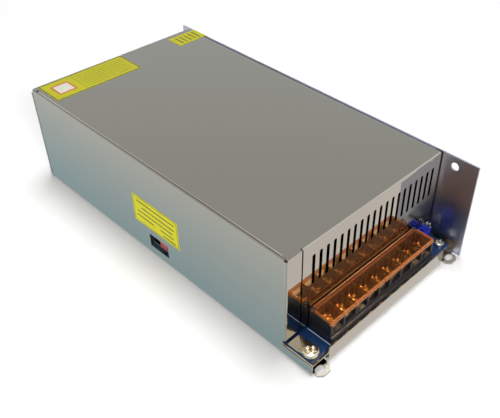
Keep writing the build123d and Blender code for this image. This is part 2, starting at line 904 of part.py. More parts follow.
with BuildPart() as selector_slider:
    with BuildSketch(Plane.YZ.offset(selector_face_x - slider_proud)):
        with Locations((slider_y, slider_z)):
            Rectangle(slider_length, slider_height)
    extrude(amount=slider_proud + groove_depth + slide_gap)
    with BuildSketch(Plane.YZ.offset(foot_x + slide_gap)):
        with Locations((slider_y, slider_z)):
            Rectangle(slider_length, slider_height + 2 * slider_foot_rim)
    extrude(amount=slider_foot)
write(selector_slider, "selector_slider")


# Fan: frame with rear struts, rotor with seven pitched blades, stator on the bearing tube
fan_ring = fan_bore / 2
bearing_outer = 3.6
bearing_wall_y = fan_rear_y - 4.0
strut_width = 3.4
rotor_face_y = fan_front_y + 1.5
rotor_wall = 1.6
rotor_end_y = bearing_wall_y - 1.0
blade_reach = fan_ring - fan_tip_gap
blade_chord = 22.0
blade_pitch = 41.0
blade_mid_y = (rotor_face_y + rotor_end_y) / 2
stator_outer = 9.8
stator_teeth = 4
stator_neck = 3.0
stator_slot = 2.2
frame_corner = 3.0
frame_hole = 4.3
frame_y = Plane.XZ.offset(-fan_rear_y)

with BuildPart() as fan_frame:
    with BuildSketch(frame_y):
        with Locations((fan_x, fan_z)):
            corners = Rectangle(fan_size, fan_size).vertices()
            chamfer(corners, length=frame_corner / 2)
            RegularPolygon(fan_ring, bore_flats, mode=Mode.SUBTRACT)
    extrude(amount=fan_depth)
    # the waist between the two flanges, on the four corners
    with BuildSketch(Plane.XZ.offset(-fan_rear_y + fan_flange)):
        with Locations((fan_x, fan_z)):
            Rectangle(fan_size + frame_corner, fan_size + frame_corner)
            RegularPolygon(fan_size / 2, fine_flats, mode=Mode.SUBTRACT)
    extrude(amount=fan_depth - 2 * fan_flange, mode=Mode.SUBTRACT)
    with BuildSketch(frame_y):
        with Locations((fan_x, fan_z)):
            with GridLocations(fan_hole_spacing, fan_hole_spacing, 2, 2):
                RegularPolygon(frame_hole / 2, hole_flats, major_radius=False)
    extrude(amount=fan_depth, mode=Mode.SUBTRACT)
    # struts and hub plate at the rear
    with BuildSketch(frame_y):
        with Locations((fan_x, fan_z)):
            RegularPolygon(fan_hub / 2, fine_flats)
            for strut_angle in (45, 135):
                Rectangle(fan_bore + fan_rim, strut_width, rotation=strut_angle)
    extrude(amount=fan_rear_y - bearing_wall_y)
    with BuildSketch(Plane.XZ.offset(-bearing_wall_y)):
        with Locations((fan_x, fan_z)):
            RegularPolygon(bearing_outer, screw_flats)
    extrude(amount=bearing_wall_y - rotor_face_y - 3 * rotor_wall)
    with BuildSketch(Plane.XZ.offset(-bearing_wall_y)):
        with Locations((fan_x, fan_z)):
            Circle(fan_shaft / 2 + pin_fit)
    extrude(amount=bearing_wall_y - rotor_face_y, mode=Mode.SUBTRACT)
write(fan_frame, "fan_frame")

with BuildPart() as fan_stator:
    with BuildSketch(Plane.XZ.offset(-bearing_wall_y + rotor_wall)):
        with Locations((fan_x, fan_z)):
            RegularPolygon(stator_outer, screw_flats)
            for tooth in range(stator_teeth):
                with PolarLocations((stator_outer + bearing_outer) / 2, 1, 45 + tooth * 90):
                    Rectangle(stator_outer - bearing_outer - stator_neck / 2, stator_slot)
            RegularPolygon(bearing_outer + thread_gap, screw_flats, mode=Mode.SUBTRACT)
    extrude(amount=rotor_end_y - rotor_face_y - 4 * rotor_wall)
write(fan_stator, "fan_stator")


with BuildPart() as blade:
    # one pitched plate on the fan's +X side, from inside the hub's wall to past its tip
    blade_root = Plane(origin=(fan_hub / 2 - rotor_wall, 0, 0), x_dir=(0, 1, 0), z_dir=(1, 0, 0))
    with BuildSketch(blade_root):
        Rectangle(blade_chord, blade_thickness, rotation=90 - blade_pitch)
    extrude(amount=fan_ring - fan_hub / 2 + 2 * rotor_wall)

with BuildPart() as fan_rotor:
    for number in range(fan_blades):
        with Locations(Location((fan_x, blade_mid_y, fan_z), (0, number * 360 / fan_blades, 0))):
            add(blade.part)
    with BuildSketch(Plane.XZ.offset(-rotor_end_y)):
        with Locations((fan_x, fan_z)):
            RegularPolygon(blade_reach, bore_flats)
    extrude(amount=rotor_end_y - rotor_face_y, mode=Mode.INTERSECT)
    with BuildSketch(Plane.XZ.offset(-rotor_end_y)):
        with Locations((fan_x, fan_z)):
            RegularPolygon(fan_hub / 2, fine_flats)
    extrude(amount=rotor_end_y - rotor_face_y)
    with BuildSketch(Plane.XZ.offset(-rotor_end_y)):
        with Locations((fan_x, fan_z)):
            RegularPolygon(fan_hub / 2 - rotor_wall, fine_flats)
    extrude(amount=rotor_end_y - rotor_face_y - rotor_wall, mode=Mode.SUBTRACT)
    with BuildSketch(Plane.XZ.offset(-bearing_wall_y + clearance)):
        with Locations((fan_x, fan_z)):
            Circle(fan_shaft / 2)
    extrude(amount=bearing_wall_y - clearance - rotor_face_y - rotor_wall / 2)
write(fan_rotor, "fan_rotor")

# Bolts through the rear wall and the fan, with nuts in front
nut_width = 7.0
nut_height = 3.2
fan_bolt_proud = 1.0
fan_bolt_length = sheet + fan_depth + nut_height + fan_bolt_proud
fan_bolt = pan_screw(m4, m4_head, m4_head_height, fan_bolt_length)
with BuildPart() as fan_screws:
    for side_x in (-1, 1):
        for side_z in (-1, 1):
            bolt_x = fan_x + side_x * fan_hole_spacing / 2
            bolt_z = fan_z + side_z * fan_hole_spacing / 2
            with Locations(Location((bolt_x, body_rear_y, bolt_z), (-90, 0, 0))):
                add(fan_bolt)
    with BuildSketch(Plane.XZ.offset(-fan_front_y)):
        with Locations((fan_x, fan_z)):
            with GridLocations(fan_hole_spacing, fan_hole_spacing, 2, 2):
                RegularPolygon(nut_width / 2, 6, major_radius=False)
                RegularPolygon(m4 / 2 + clearance, shank_flats, mode=Mode.SUBTRACT)
    extrude(amount=nut_height)
write(fan_screws, "fan_screws")

# Fan lead with its plug and the header on the board
header_x = 40.0 * wide
header_y = board_rear_y - 3.5
header_width = 7.5
header_depth = 5.8
header_height = 7.0
header_wall = 0.8
header_floor = 2.0
plug_proud = 3.0
plug_fit = 0.1
lead_outer = 1.2
lead_bend = 4.0
lead_z = fan_z - fan_hole_spacing / 2 + 7.9
lead_exit_x = fan_x + fan_size / 2 - 4.5
lead_exit_y = fan_front_y + 13.0
plug_top = board_top + header_height + plug_proud

with BuildPart() as fan_header:
    with BuildSketch(Plane.XY.offset(board_top)):
        with Locations((header_x, header_y)):
            Rectangle(header_width, header_depth)
    extrude(amount=header_height)
    with BuildSketch(Plane.XY.offset(board_top + header_floor)):
        with Locations((header_x, header_y)):
            Rectangle(header_width - 2 * header_wall, header_depth - 2 * header_wall)
    extrude(amount=header_height - header_floor, mode=Mode.SUBTRACT)
write(fan_header, "fan_header")

with BuildPart() as fan_plug:
    with BuildSketch(Plane.XY.offset(board_top + header_floor)):
        with Locations((header_x, header_y)):
            Rectangle(
                header_width - 2 * header_wall - 2 * plug_fit,
                header_depth - 2 * header_wall - 2 * plug_fit,
            )
    extrude(amount=plug_top - board_top - header_floor)
write(fan_plug, "fan_plug")

lead_top_z = plug_top + lead_bend + lead_outer
with BuildPart() as fan_lead:
    with BuildLine():
        Polyline(
            (lead_exit_x, lead_exit_y, lead_z),
            (header_x, lead_exit_y, lead_z),
            (header_x, lead_exit_y, lead_top_z),
            (header_x, header_y, lead_top_z),
            (header_x, header_y, plug_top),
        )
    with BuildSketch(Plane.YZ.offset(lead_exit_x)):
        with Locations((lead_exit_y, lead_z)):
            RegularPolygon(lead_outer, shank_flats)
    sweep(transition=Transition.RIGHT)
write(fan_lead, "fan_lead")


# Heatsinks standing on the board along both walls, with the power parts clamped on
primary_plate_x = -54.5 * wide
output_plate_x = 55.0 * wide
plate_wall = 3.0 * wide
fin_reach = 3.6
fin_wall = 1.4
fin_count = 4
fin_pitch = 9.0
heatsink_height = 40.0
sink_gap = 0.95
primary_start = selector_y + selector_length / 2 + selector_overhang + sink_gap
primary_span = (primary_start, board_rear_y - sink_gap)
output_span = (spot(0, -56.0)[1], spot(0, 21.0)[1])
primary_pitch = (primary_span[1] - primary_span[0]) * 0.26
output_pitch = (output_span[1] - output_span[0]) / 4
device_gap = 3.2
device_width = min(primary_pitch, output_pitch) - device_gap
device_depth = 5.0 * wide
device_height = 21.0
device_stand = 6.0
leg_width = 1.2
leg_depth = 0.6
leg_pitch = device_width * 0.34
leg_count = 3
pad_thickness = 0.3
pad_margin = 1.0
clamp_thickness = 1.5
clamp_height = 8.0
clamp_rise = 19.0
clamp_screw_length = 9.0
primary_first = primary_span[0] + device_width / 2 + clearance
primary_ys = [primary_first + i * primary_pitch for i in range(3)]
output_ys = [output_span[0] + (i + 0.5) * output_pitch for i in range(4)]
bridge_width = device_width + 1.0
bridge_y = primary_span[1] - bridge_width / 2 - clearance
bridge_height = 18.5
bridge_depth = 3.5
bridge_legs = 4
bridge_leg_pitch = bridge_width / 4


def heatsink(outer_x, side, span):
    """An upright plate with fins on the side of the case wall."""
    with BuildPart(Plane.XY) as body:
        plate_inner = outer_x - side * plate_wall
        add(block(sorted((outer_x, plate_inner)), span, (board_top, board_top + heatsink_height)))
        for fin in range(fin_count):
            fin_z = board_top + heatsink_height - fin_wall - fin * fin_pitch
            fin_x = sorted((outer_x, outer_x + side * fin_reach))
            add(block(fin_x, span, (fin_z, fin_z + fin_wall)))
    return body.part


def devices(face_x, side, spots, width, depth, height, legs, pitch):
    """Power parts standing on their legs, their backs on a heatsink's face."""
    front_x = face_x - side * depth
    with BuildPart(Plane.XY) as group:
        for y in spots:
            low = board_top + device_stand
            add(block(sorted((face_x, front_x)), (y - width / 2, y + width / 2), (low, low + height)))
            for leg in range(legs):
                leg_y = y + (leg - (legs - 1) / 2) * pitch
                leg_x = (face_x + front_x) / 2
                add(
                    block(
                        (leg_x - leg_depth / 2, leg_x + leg_depth / 2),
                        (leg_y - leg_width / 2, leg_y + leg_width / 2),
                        (board_top, low),
                    )
                )
    return group.part


primary_face = primary_plate_x + plate_wall
output_face = output_plate_x - plate_wall
clamp_z = board_top + clamp_rise
primary_device_x = primary_face + pad_thickness
output_device_x = output_face - pad_thickness
primary_clamp_x = primary_device_x + device_depth
output_clamp_x = output_device_x - device_depth
primary_clamp_ys = [(primary_ys[i] + primary_ys[i + 1]) / 2 for i in range(len(primary_ys) - 1)]
output_clamp_ys = [(output_ys[i] + output_ys[i + 1]) / 2 for i in range(len(output_ys) - 1)]


def cross_holes(start_x, depth, ys, radius):
    """Holes along X at the clamps' height, as one solid to cut away."""
    with BuildPart(Plane.XY) as holes:
        with BuildSketch(Plane.YZ.offset(start_x)):
            with Locations(*[(y, clamp_z) for y in ys]):
                RegularPolygon(radius, shank_flats, rotation=90)
        extrude(amount=depth)
    return holes.part


with BuildPart() as primary_heatsink:
    add(heatsink(primary_plate_x, -1, primary_span))
    primary_holes = primary_clamp_ys + [bridge_y]
    add(cross_holes(primary_plate_x, plate_wall, primary_holes, m3 / 2), mode=Mode.SUBTRACT)
write(primary_heatsink, "primary_heatsink")

with BuildPart() as output_heatsink:
    add(heatsink(output_plate_x, 1, output_span))
    add(cross_holes(output_face, plate_wall, output_clamp_ys, m3 / 2), mode=Mode.SUBTRACT)
write(output_heatsink, "output_heatsink")

with BuildPart() as power_transistors:
    add(
        devices(
            primary_device_x,
            -1,
            primary_ys,
            device_width,
            device_depth,
            device_height,
            leg_count,
            leg_pitch,
        )
    )
write(power_transistors, "power_transistors")

with BuildPart() as output_rectifiers:
    add(
        devices(
            output_device_x,
            1,
            output_ys,
            device_width,
            device_depth,
            device_height,
            leg_count,
            leg_pitch,
        )
    )
write(output_rectifiers, "output_rectifiers")

with BuildPart() as bridge_rectifier:
    add(
        devices(
            primary_device_x,
            -1,
            [bridge_y],
            bridge_width,
            bridge_depth,
            bridge_height,
            bridge_legs,
            bridge_leg_pitch,
        )
    )
    add(
        cross_holes(primary_device_x, bridge_depth, [bridge_y], m3_clearance / 2),
        mode=Mode.SUBTRACT,
    )
write(bridge_rectifier, "bridge_rectifier")

pad_low = board_top + device_stand - pad_margin
with BuildPart() as insulating_pads:
    for face_x, spots in ((primary_face, primary_ys + [bridge_y]), (output_device_x, output_ys)):
        for y in spots:
            add(
                block(
                    (face_x, face_x + pad_thickness),
                    (y - device_width / 2, y + device_width / 2),
                    (pad_low, pad_low + device_height + 2 * pad_margin),
                )
            )
    add(
        cross_holes(primary_face, pad_thickness, [bridge_y], m3_clearance / 2),
        mode=Mode.SUBTRACT,
    )
write(insulating_pads, "insulating_pads")

with BuildPart() as clamp_bars:
    for start_x, spots, screws in (
        (primary_clamp_x, primary_ys, primary_clamp_ys),
        (output_clamp_x - clamp_thickness, output_ys, output_clamp_ys),
    ):
        add(
            block(
                (start_x, start_x + clamp_thickness),
                (spots[0] - device_width / 2, spots[-1] + device_width / 2),
                (clamp_z - clamp_height / 2, clamp_z + clamp_height / 2),
            )
        )
        add(
            cross_holes(start_x, clamp_thickness, screws, m3_clearance / 2),
            mode=Mode.SUBTRACT,
        )
write(clamp_bars, "clamp_bars")

clamp_screw = pan_screw(m3, m3_head, m3_head_height, clamp_screw_length)
bridge_screw = pan_screw(m3, m3_head, m3_head_height, bridge_depth + pad_thickness + plate_wall)
with BuildPart() as clamp_screws:
    for y in primary_clamp_ys:
        with Locations(Location((primary_clamp_x + clamp_thickness, y, clamp_z), (0, 90, 0))):
            add(clamp_screw)
    for y in output_clamp_ys:
        with Locations(Location((output_clamp_x - clamp_thickness, y, clamp_z), (0, -90, 0))):
            add(clamp_screw)
    with Locations(Location((primary_device_x + bridge_depth, bridge_y, clamp_z), (0, 90, 0))):
        add(bridge_screw)
write(clamp_screws, "clamp_screws")


# Transformer: two ferrite halves round a wound bobbin
core_x, core_y = spot(18.0, -28.0)
core_width = 48.0 * wide
core_length = 42.0 * deep
core_thickness = 22.0
core_limb = 7.0 * wide
core_centre = 15.0 * wide
core_yoke = 7.0
coil_wall = 8.0
coil_gap = 0.4
bobbin_wall = 1.0
coil_lift = 0.6
core_z = board_top + coil_lift + bobbin_wall + coil_wall + coil_gap + core_thickness / 2
window_width = (core_width - core_centre) / 2 - core_limb
window_length = core_length - 2 * core_yoke

with BuildPart() as transformer_core:
    with BuildSketch(Plane.XY.offset(core_z - core_thickness / 2)):
        with Locations((core_x, core_y)):
            Rectangle(core_width, core_length)
            with GridLocations(core_centre + window_width, 1, 2, 1):
                Rectangle(window_width, window_length, mode=Mode.SUBTRACT)
    extrude(amount=core_thickness)
write(transformer_core, "transformer_core")

with BuildPart() as transformer_winding:
    # bobbin flanges at both ends, then the coil between them
    flange_half_x = core_centre / 2 + window_width - coil_gap
    flange_half_z = core_thickness / 2 + coil_gap + coil_wall + bobbin_wall
    coil_half_x = flange_half_x - bobbin_wall / 2
    coil_half_z = flange_half_z - bobbin_wall
    half_run = window_length / 2 - coil_gap
    for low_y in (core_y - half_run, core_y + half_run - bobbin_wall):
        add(
            block(
                (core_x - flange_half_x, core_x + flange_half_x),
                (low_y, low_y + bobbin_wall),
                (core_z - flange_half_z, core_z + flange_half_z),
            )
        )
    add(
        block(
            (core_x - coil_half_x, core_x + coil_half_x),
            (core_y - half_run + bobbin_wall, core_y + half_run - bobbin_wall),
            (core_z - coil_half_z, core_z + coil_half_z),
        )
    )
    long_edges = transformer_winding.edges().filter_by(Axis.Y)
    long_edges = long_edges.filter_by(lambda e: e.length > half_run)
    chamfer(long_edges, length=coil_wall / 3)
    add(
        block(
            (core_x - core_centre / 2 - coil_gap, core_x + core_centre / 2 + coil_gap),
            (core_y - window_length / 2, core_y + window_length / 2),
            (core_z - core_thickness / 2 - coil_gap, core_z + core_thickness / 2 + coil_gap),
        ),
        mode=Mode.SUBTRACT,
    )
    # feet down to the board
    for foot_y in (core_y - half_run, core_y + half_run - bobbin_wall):
        add(
            block(
                (core_x - flange_half_x, core_x + flange_half_x),
                (foot_y, foot_y + bobbin_wall),
                (board_top, core_z - flange_half_z),
            )
        )
write(transformer_winding, "transformer_winding")

# Small driver transformer
driver_x, driver_y = spot(-17.0, -30.0)
driver_core = (14.0 * snug, 6.0 * snug, 13.0)
driver_coil = (9.0 * snug, 12.0 * snug, 9.0)
driver_lift = 1.5

with BuildPart() as driver_transformer:
    with Locations((driver_x, driver_y, board_top + driver_lift + driver_core[2] / 2)):
        Box(*driver_core)
        Box(*driver_coil)
    with Locations((driver_x, driver_y, board_top)):
        Box(driver_core[0], driver_coil[1], driver_lift, align=(Align.CENTER, Align.CENTER, Align.MIN))
write(driver_transformer, "driver_transformer")


def toroid_core(outer, inner, height, lift):
    """A plain ring core, lifted off the board by its winding."""
    with BuildPart(Plane.XY) as ring:
        with BuildSketch(Plane.XY.offset(lift)):
            RegularPolygon(outer / 2, fine_flats)
            RegularPolygon(inner / 2, fine_flats, mode=Mode.SUBTRACT)
        extrude(amount=height)
    return ring.part


def toroid_winding(outer, inner, height, wire, gap_width):
    """Two coils round a ring core, parted by two gaps across it."""
    with BuildPart(Plane.XY) as coils:
        with BuildSketch(Plane.XY):
            RegularPolygon(outer / 2 + wire, fine_flats)
            RegularPolygon(inner / 2 - wire, fine_flats, mode=Mode.SUBTRACT)
            Rectangle(outer + 4 * wire, gap_width, mode=Mode.SUBTRACT)
        extrude(amount=height + 2 * wire)
        with BuildSketch(Plane.XY.offset(wire)):
            RegularPolygon(outer / 2, fine_flats)
            RegularPolygon(inner / 2, fine_flats, mode=Mode.SUBTRACT)
        extrude(amount=height, mode=Mode.SUBTRACT)
    return coils.part


# Line filter choke and output choke
filter_spot = spot(-29.5, -70.0)
filter_size = (25.0 * snug, 14.0 * snug, 11.0)
filter_wire = 1.6
filter_gap = 5.0
output_spot = spot(43.0, -80.0)
output_size = (27.0 * snug, 14.0 * snug, 15.0)
output_wire = 1.8
output_gap = 3.0

with BuildPart() as filter_choke_core:
    with Locations((*filter_spot, board_top)):
        add(toroid_core(*filter_size, filter_wire))
write(filter_choke_core, "filter_choke_core")

with BuildPart() as filter_choke_winding:
    with Locations((*filter_spot, board_top)):
        add(toroid_winding(*filter_size, filter_wire, filter_gap))
write(filter_choke_winding, "filter_choke_winding")

with BuildPart() as output_choke_core:
    with Locations((*output_spot, board_top)):
        add(toroid_core(*output_size, output_wire))
write(output_choke_core, "output_choke_core")

with BuildPart() as output_choke_winding:
    with Locations((*output_spot, board_top)):
        add(toroid_winding(*output_size, output_wire, output_gap))
write(output_choke_winding, "output_choke_winding")


def can_capacitor(diameter, height, flats):
    """A sleeved can standing on the board."""
    with BuildPart(Plane.XY) as can:
        with BuildSketch(Plane.XY):
            RegularPolygon(diameter / 2, flats)
        extrude(amount=height)
    return can.part


# Capacitors
bulk_size = (30.0 * snug, 42.0, fine_flats)
bulk_spots = [spot(-27.0, 20.0), spot(-27.0, 52.0), spot(5.0, 20.0), spot(5.0, 52.0)]
output_can_size = (12.5 * snug, 25.0, screw_flats)
output_can_centre = spot(6.0, -81.0)
output_can_pitch = 14.5 * snug
film_size = (26.0 * wide, 10.0 * deep, 19.0)
film_spots = [spot(-34.0, -90.0), spot(-33.0, -50.0)]
film_rim = 0.8
bulk_can = can_capacitor(*bulk_size)
output_can = can_capacitor(*output_can_size)

with BuildPart() as bulk_capacitors:
    with Locations(*[(x, y, board_top) for x, y in bulk_spots]):
        add(bulk_can)
write(bulk_capacitors, "bulk_capacitors")

with BuildPart() as output_capacitors:
    with Locations((*output_can_centre, board_top)):
        with GridLocations(output_can_pitch, output_can_pitch, 3, 2):
            add(output_can)
write(output_capacitors, "output_capacitors")

with BuildPart() as film_capacitors:
    with Locations(*[(x, y, board_top) for x, y in film_spots]):
        Box(*film_size, align=(Align.CENTER, Align.CENTER, Align.MIN))
    chamfer(film_capacitors.edges().filter_by(Axis.Z), length=film_rim)
write(film_capacitors, "film_capacitors")


# Relay and inrush thermistor
relay_spot = spot(-34.0, -36.0)
relay_size = (18.0 * wide, 15.0 * deep, 15.0)
relay_rim = 1.0
thermistor_spot = spot(-52.0, -64.0)
thermistor_radius = 7.5 * snug
thermistor_depth = 5.0
thermistor_stand = 3.0
thermistor_lead = 0.9
thermistor_pitch = 7.5

with BuildPart() as relay:
    with Locations((*relay_spot, board_top)):
        Box(*relay_size, align=(Align.CENTER, Align.CENTER, Align.MIN))
    chamfer(relay.faces().sort_by(Axis.Z)[-1].edges(), length=relay_rim)
write(relay, "relay")

with BuildPart() as inrush_thermistor:
    disc_z = board_top + thermistor_stand + thermistor_radius
    with BuildSketch(Plane.XZ.offset(-thermistor_spot[1] - thermistor_depth / 2)):
        with Locations((thermistor_spot[0], disc_z)):
            RegularPolygon(thermistor_radius, fine_flats)
    extrude(amount=thermistor_depth)
    for side in (-1, 1):
        with BuildSketch(Plane.XY.offset(board_top)):
            with Locations((thermistor_spot[0] + side * thermistor_pitch / 2, thermistor_spot[1])):
                Rectangle(thermistor_lead, thermistor_lead)
        extrude(amount=thermistor_stand + thermistor_radius)
write(inrush_thermistor, "inrush_thermistor")


# Fuse in two clips
fuse_spot = spot(-53.5, -84.0)
fuse_radius = 2.6
fuse_length = 20.0 * deep
fuse_cap = 5.0
fuse_step = 0.2
clip_sheet = 0.5
fuse_clip_length = 4.6
fuse_clip_height = 6.4
fuse_axis_z = board_top + clip_sheet + fuse_radius

with BuildPart() as fuse:
    with BuildSketch(Plane.XZ.offset(-fuse_spot[1] - fuse_length / 2)):
        with Locations((fuse_spot[0], fuse_axis_z)):
            RegularPolygon(fuse_radius - fuse_step, screw_flats)
    extrude(amount=fuse_length)
    for start_y in (fuse_spot[1] + fuse_length / 2, fuse_spot[1] - fuse_length / 2 + fuse_cap):
        with BuildSketch(Plane.XZ.offset(-start_y)):
            with Locations((fuse_spot[0], fuse_axis_z)):
                RegularPolygon(fuse_radius, screw_flats)
        extrude(amount=fuse_cap)
write(fuse, "fuse")

with BuildPart() as fuse_clips:
    for side in (-1, 1):
        clip_y = fuse_spot[1] + side * (fuse_length - fuse_cap) / 2
        clip_span = (clip_y - fuse_clip_length / 2, clip_y + fuse_clip_length / 2)
        reach = fuse_radius + clip_sheet
        add(
            block(
                (fuse_spot[0] - reach, fuse_spot[0] + reach),
                clip_span,
                (board_top, board_top + clip_sheet),
            )
        )
        for wall_x in (fuse_spot[0] - reach, fuse_spot[0] + fuse_radius):
            add(block((wall_x, wall_x + clip_sheet), clip_span, (board_top, board_top + fuse_clip_height)))
write(fuse_clips, "fuse_clips")


# Current shunts: bare strips bent to bridges in front of the transformer
shunt_xs = [2.0 * wide, 8.0 * wide, 14.0 * wide]
shunt_y = spot(0, -58.5)[1]
shunt_span = 12.0 * deep
shunt_height = 6.0
shunt_width = 1.6
shunt_thickness = 0.8

with BuildPart() as current_shunts:
    for x in shunt_xs:
        with BuildSketch(Plane.YZ.offset(x - shunt_width / 2)):
            with Locations((shunt_y, board_top)):
                Rectangle(shunt_span, shunt_height, align=(Align.CENTER, Align.MIN))
                Rectangle(
                    shunt_span - 2 * shunt_thickness,
                    shunt_height - shunt_thickness,
                    align=(Align.CENTER, Align.MIN),
                    mode=Mode.SUBTRACT,
                )
        extrude(amount=shunt_width)
write(current_shunts, "current_shunts")


# Control board standing on the main board, with its chip
control_x = 34.0 * wide
control_span = (spot(0, 12.0)[1], spot(0, 60.0)[1])
control_height = 36.0
chip_span = (spot(0, 28.0)[1], spot(0, 38.0)[1])
chip_rise = (18.0, 25.0)
chip_depth = 1.8

with BuildPart() as control_board:
    add(
        block(
            (control_x, control_x + board_thickness),
            control_span,
            (board_top, board_top + control_height),
        )
    )
write(control_board, "control_board")

with BuildPart() as control_chip:
    add(
        block(
            (control_x - chip_depth, control_x),
            chip_span,
            (board_top + chip_rise[0], board_top + chip_rise[1]),
        )
    )
write(control_chip, "control_chip")


# Stickers
top_label_x = (left_x + top_label_inset, left_x + top_label_inset + top_label_length)
top_label_y = (rear_y - top_label_setback - top_label_depth, rear_y - top_label_setback)
seal_label_x = (right_x - seal_length, right_x)
seal_label_y = (rear_y - seal_setback - seal_depth, rear_y - seal_setback)
side_label_y = (selector_y - side_label_lead, selector_y - side_label_lead + side_label_length)
side_label_z = (side_label_rise, side_label_rise + side_label_height)

with BuildPart() as top_label:
    add(block(top_label_x, top_label_y, (case_height, case_height + sticker)))
write(top_label, "top_label")

with BuildPart() as seal_label:
    add(block(seal_label_x, seal_label_y, (case_height, case_height + sticker)))
write(seal_label, "seal_label")

with BuildPart() as side_label:
    add(block((left_x - sticker, left_x), side_label_y, side_label_z))
write(side_label, "side_label")
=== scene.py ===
# %% [markdown]
# # An enclosed switching power supply
# The supply is a box of folded bright sheet metal. A black nine-pole terminal block stands in an open
# bay at its front, under a flip cover of clear amber plastic. This lesson dresses the solid model,
# which is already in its place in metres. The solids could be modelled again here, but they have the
# right sizes, so they stay, and only finishes, eased edges, screw heads and printed lines are added.

# %% Load the solid model
import json
import math

import bmesh
import bpy
import numpy as np
from mathutils import Matrix, Vector


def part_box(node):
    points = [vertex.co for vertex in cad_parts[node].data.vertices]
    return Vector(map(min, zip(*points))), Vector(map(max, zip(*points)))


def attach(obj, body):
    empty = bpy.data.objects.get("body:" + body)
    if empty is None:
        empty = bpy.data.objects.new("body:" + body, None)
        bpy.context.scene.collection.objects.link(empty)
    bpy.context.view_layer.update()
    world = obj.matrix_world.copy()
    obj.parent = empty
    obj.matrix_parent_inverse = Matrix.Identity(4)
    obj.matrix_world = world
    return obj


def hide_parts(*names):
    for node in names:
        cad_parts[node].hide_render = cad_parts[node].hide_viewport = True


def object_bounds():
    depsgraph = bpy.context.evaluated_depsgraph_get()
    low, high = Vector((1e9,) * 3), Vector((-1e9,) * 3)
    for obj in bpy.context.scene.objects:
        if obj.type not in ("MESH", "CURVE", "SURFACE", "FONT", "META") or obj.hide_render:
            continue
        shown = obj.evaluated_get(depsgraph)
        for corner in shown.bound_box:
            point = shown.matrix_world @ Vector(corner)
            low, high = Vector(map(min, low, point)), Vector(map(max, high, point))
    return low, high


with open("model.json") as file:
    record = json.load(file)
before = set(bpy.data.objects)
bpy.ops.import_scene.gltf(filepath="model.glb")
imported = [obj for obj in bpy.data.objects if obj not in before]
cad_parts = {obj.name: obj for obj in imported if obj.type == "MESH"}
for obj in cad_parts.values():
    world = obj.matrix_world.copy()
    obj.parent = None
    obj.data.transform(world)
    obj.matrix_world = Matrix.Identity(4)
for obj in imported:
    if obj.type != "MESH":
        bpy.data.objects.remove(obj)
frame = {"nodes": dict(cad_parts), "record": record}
solid_low, solid_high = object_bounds()
MM = 0.001

# %% [markdown]
# ## Colours and nodes
# Colours are easiest to judge as the hex values of a screen, but a shader works with linear light, so
# one function turns one into the other. One more adds a node with its settings and its links, which
# keeps a material's recipe short enough to read.


# %% Colour and node helpers
def linear(hex_colour):
    """An sRGB hex colour as linear light: each channel c becomes ((c + 0.055) / 1.055) ^ 2.4."""
    levels = [int(hex_colour[i : i + 2], 16) / 255 for i in (1, 3, 5)]
    return [c / 12.92 if c <= 0.04045 else ((c + 0.055) / 1.055) ** 2.4 for c in levels] + [1.0]


def add_node(tree, kind, settings=None, **links):
    """Adds one node. A link or value is given by the socket's name, with _ for a space."""
    node = tree.nodes.new(kind)
    for name, value in (settings or {}).items():
        setattr(node, name, value)
    for name, value in links.items():
        key = int(name[1:]) if name[1:].isdigit() else name.replace("_", " ")
        socket = node.inputs[key]
        if isinstance(value, bpy.types.NodeSocket):
            tree.links.new(value, socket)
        else:
            socket.default_value = value
    return node


def new_material(name):
    """An empty material with its shader and output, and the point's place on the object in metres."""
    material = bpy.data.materials.new(name)
    material.use_nodes = True
    tree = material.node_tree
    tree.nodes.clear()
    shader = tree.nodes.new("ShaderNodeBsdfPrincipled")
    add_node(tree, "ShaderNodeOutputMaterial", Surface=shader.outputs[0])
    place = tree.nodes.new("ShaderNodeTexCoord").outputs["Object"]
    return material, tree, shader, place


def show(tree, shader_output):
    """Links a shader to the material's output in place of the one that is there."""
    tree.links.new(shader_output, tree.nodes["Material Output"].inputs["Surface"])


print("pure white in linear light:", linear("#FFFFFF"))

# %% [markdown]
# ## The camera
# The picture is taken from above the front left corner, close to the case, so its far end narrows. A
# camera could be aimed by eye, but then the corners would miss theirs. Here the eye's place, its
# direction and the lens come from fitting the solid model's corners to the picture.

# %% Camera
FRAME_WIDTH, FRAME_HEIGHT = 500, 418
FOCAL_PIXELS = 690.4
CENTRE_U, CENTRE_V = 300.1, 214.7
SENSOR_MM = 36.0
AZIMUTH, ELEVATION, ROLL = map(math.radians, (-48.01, 39.74, -1.85))
eye = Vector((-224.9, -253.4, 278.8)) * MM

flat_reach = math.cos(ELEVATION)
ahead = Vector((-math.sin(AZIMUTH) * flat_reach, math.cos(AZIMUTH) * flat_reach, -math.sin(ELEVATION)))
level = ahead.cross(Vector((0, 0, 1))).normalized()
fall = ahead.cross(level)
right = level * math.cos(ROLL) + fall * math.sin(ROLL)
down = fall * math.cos(ROLL) - level * math.sin(ROLL)

camera = bpy.data.objects.new("camera", bpy.data.cameras.new("camera"))
bpy.context.scene.collection.objects.link(camera)
bpy.context.scene.camera = camera
turn = Matrix((right, -down, -ahead)).transposed()
camera.matrix_world = Matrix.Translation(eye) @ turn.to_4x4()
lens = camera.data
lens.sensor_width = SENSOR_MM
lens.lens = SENSOR_MM * FOCAL_PIXELS / FRAME_WIDTH
lens.shift_x = (FRAME_WIDTH / 2 - CENTRE_U) / FRAME_WIDTH
lens.shift_y = (CENTRE_V - FRAME_HEIGHT / 2) / FRAME_WIDTH
lens.clip_start = 0.01
bpy.context.scene.view_settings.view_transform = "Standard"
print("lens", round(lens.lens, 2), "mm, shift", round(lens.shift_x, 3), round(lens.shift_y, 3))

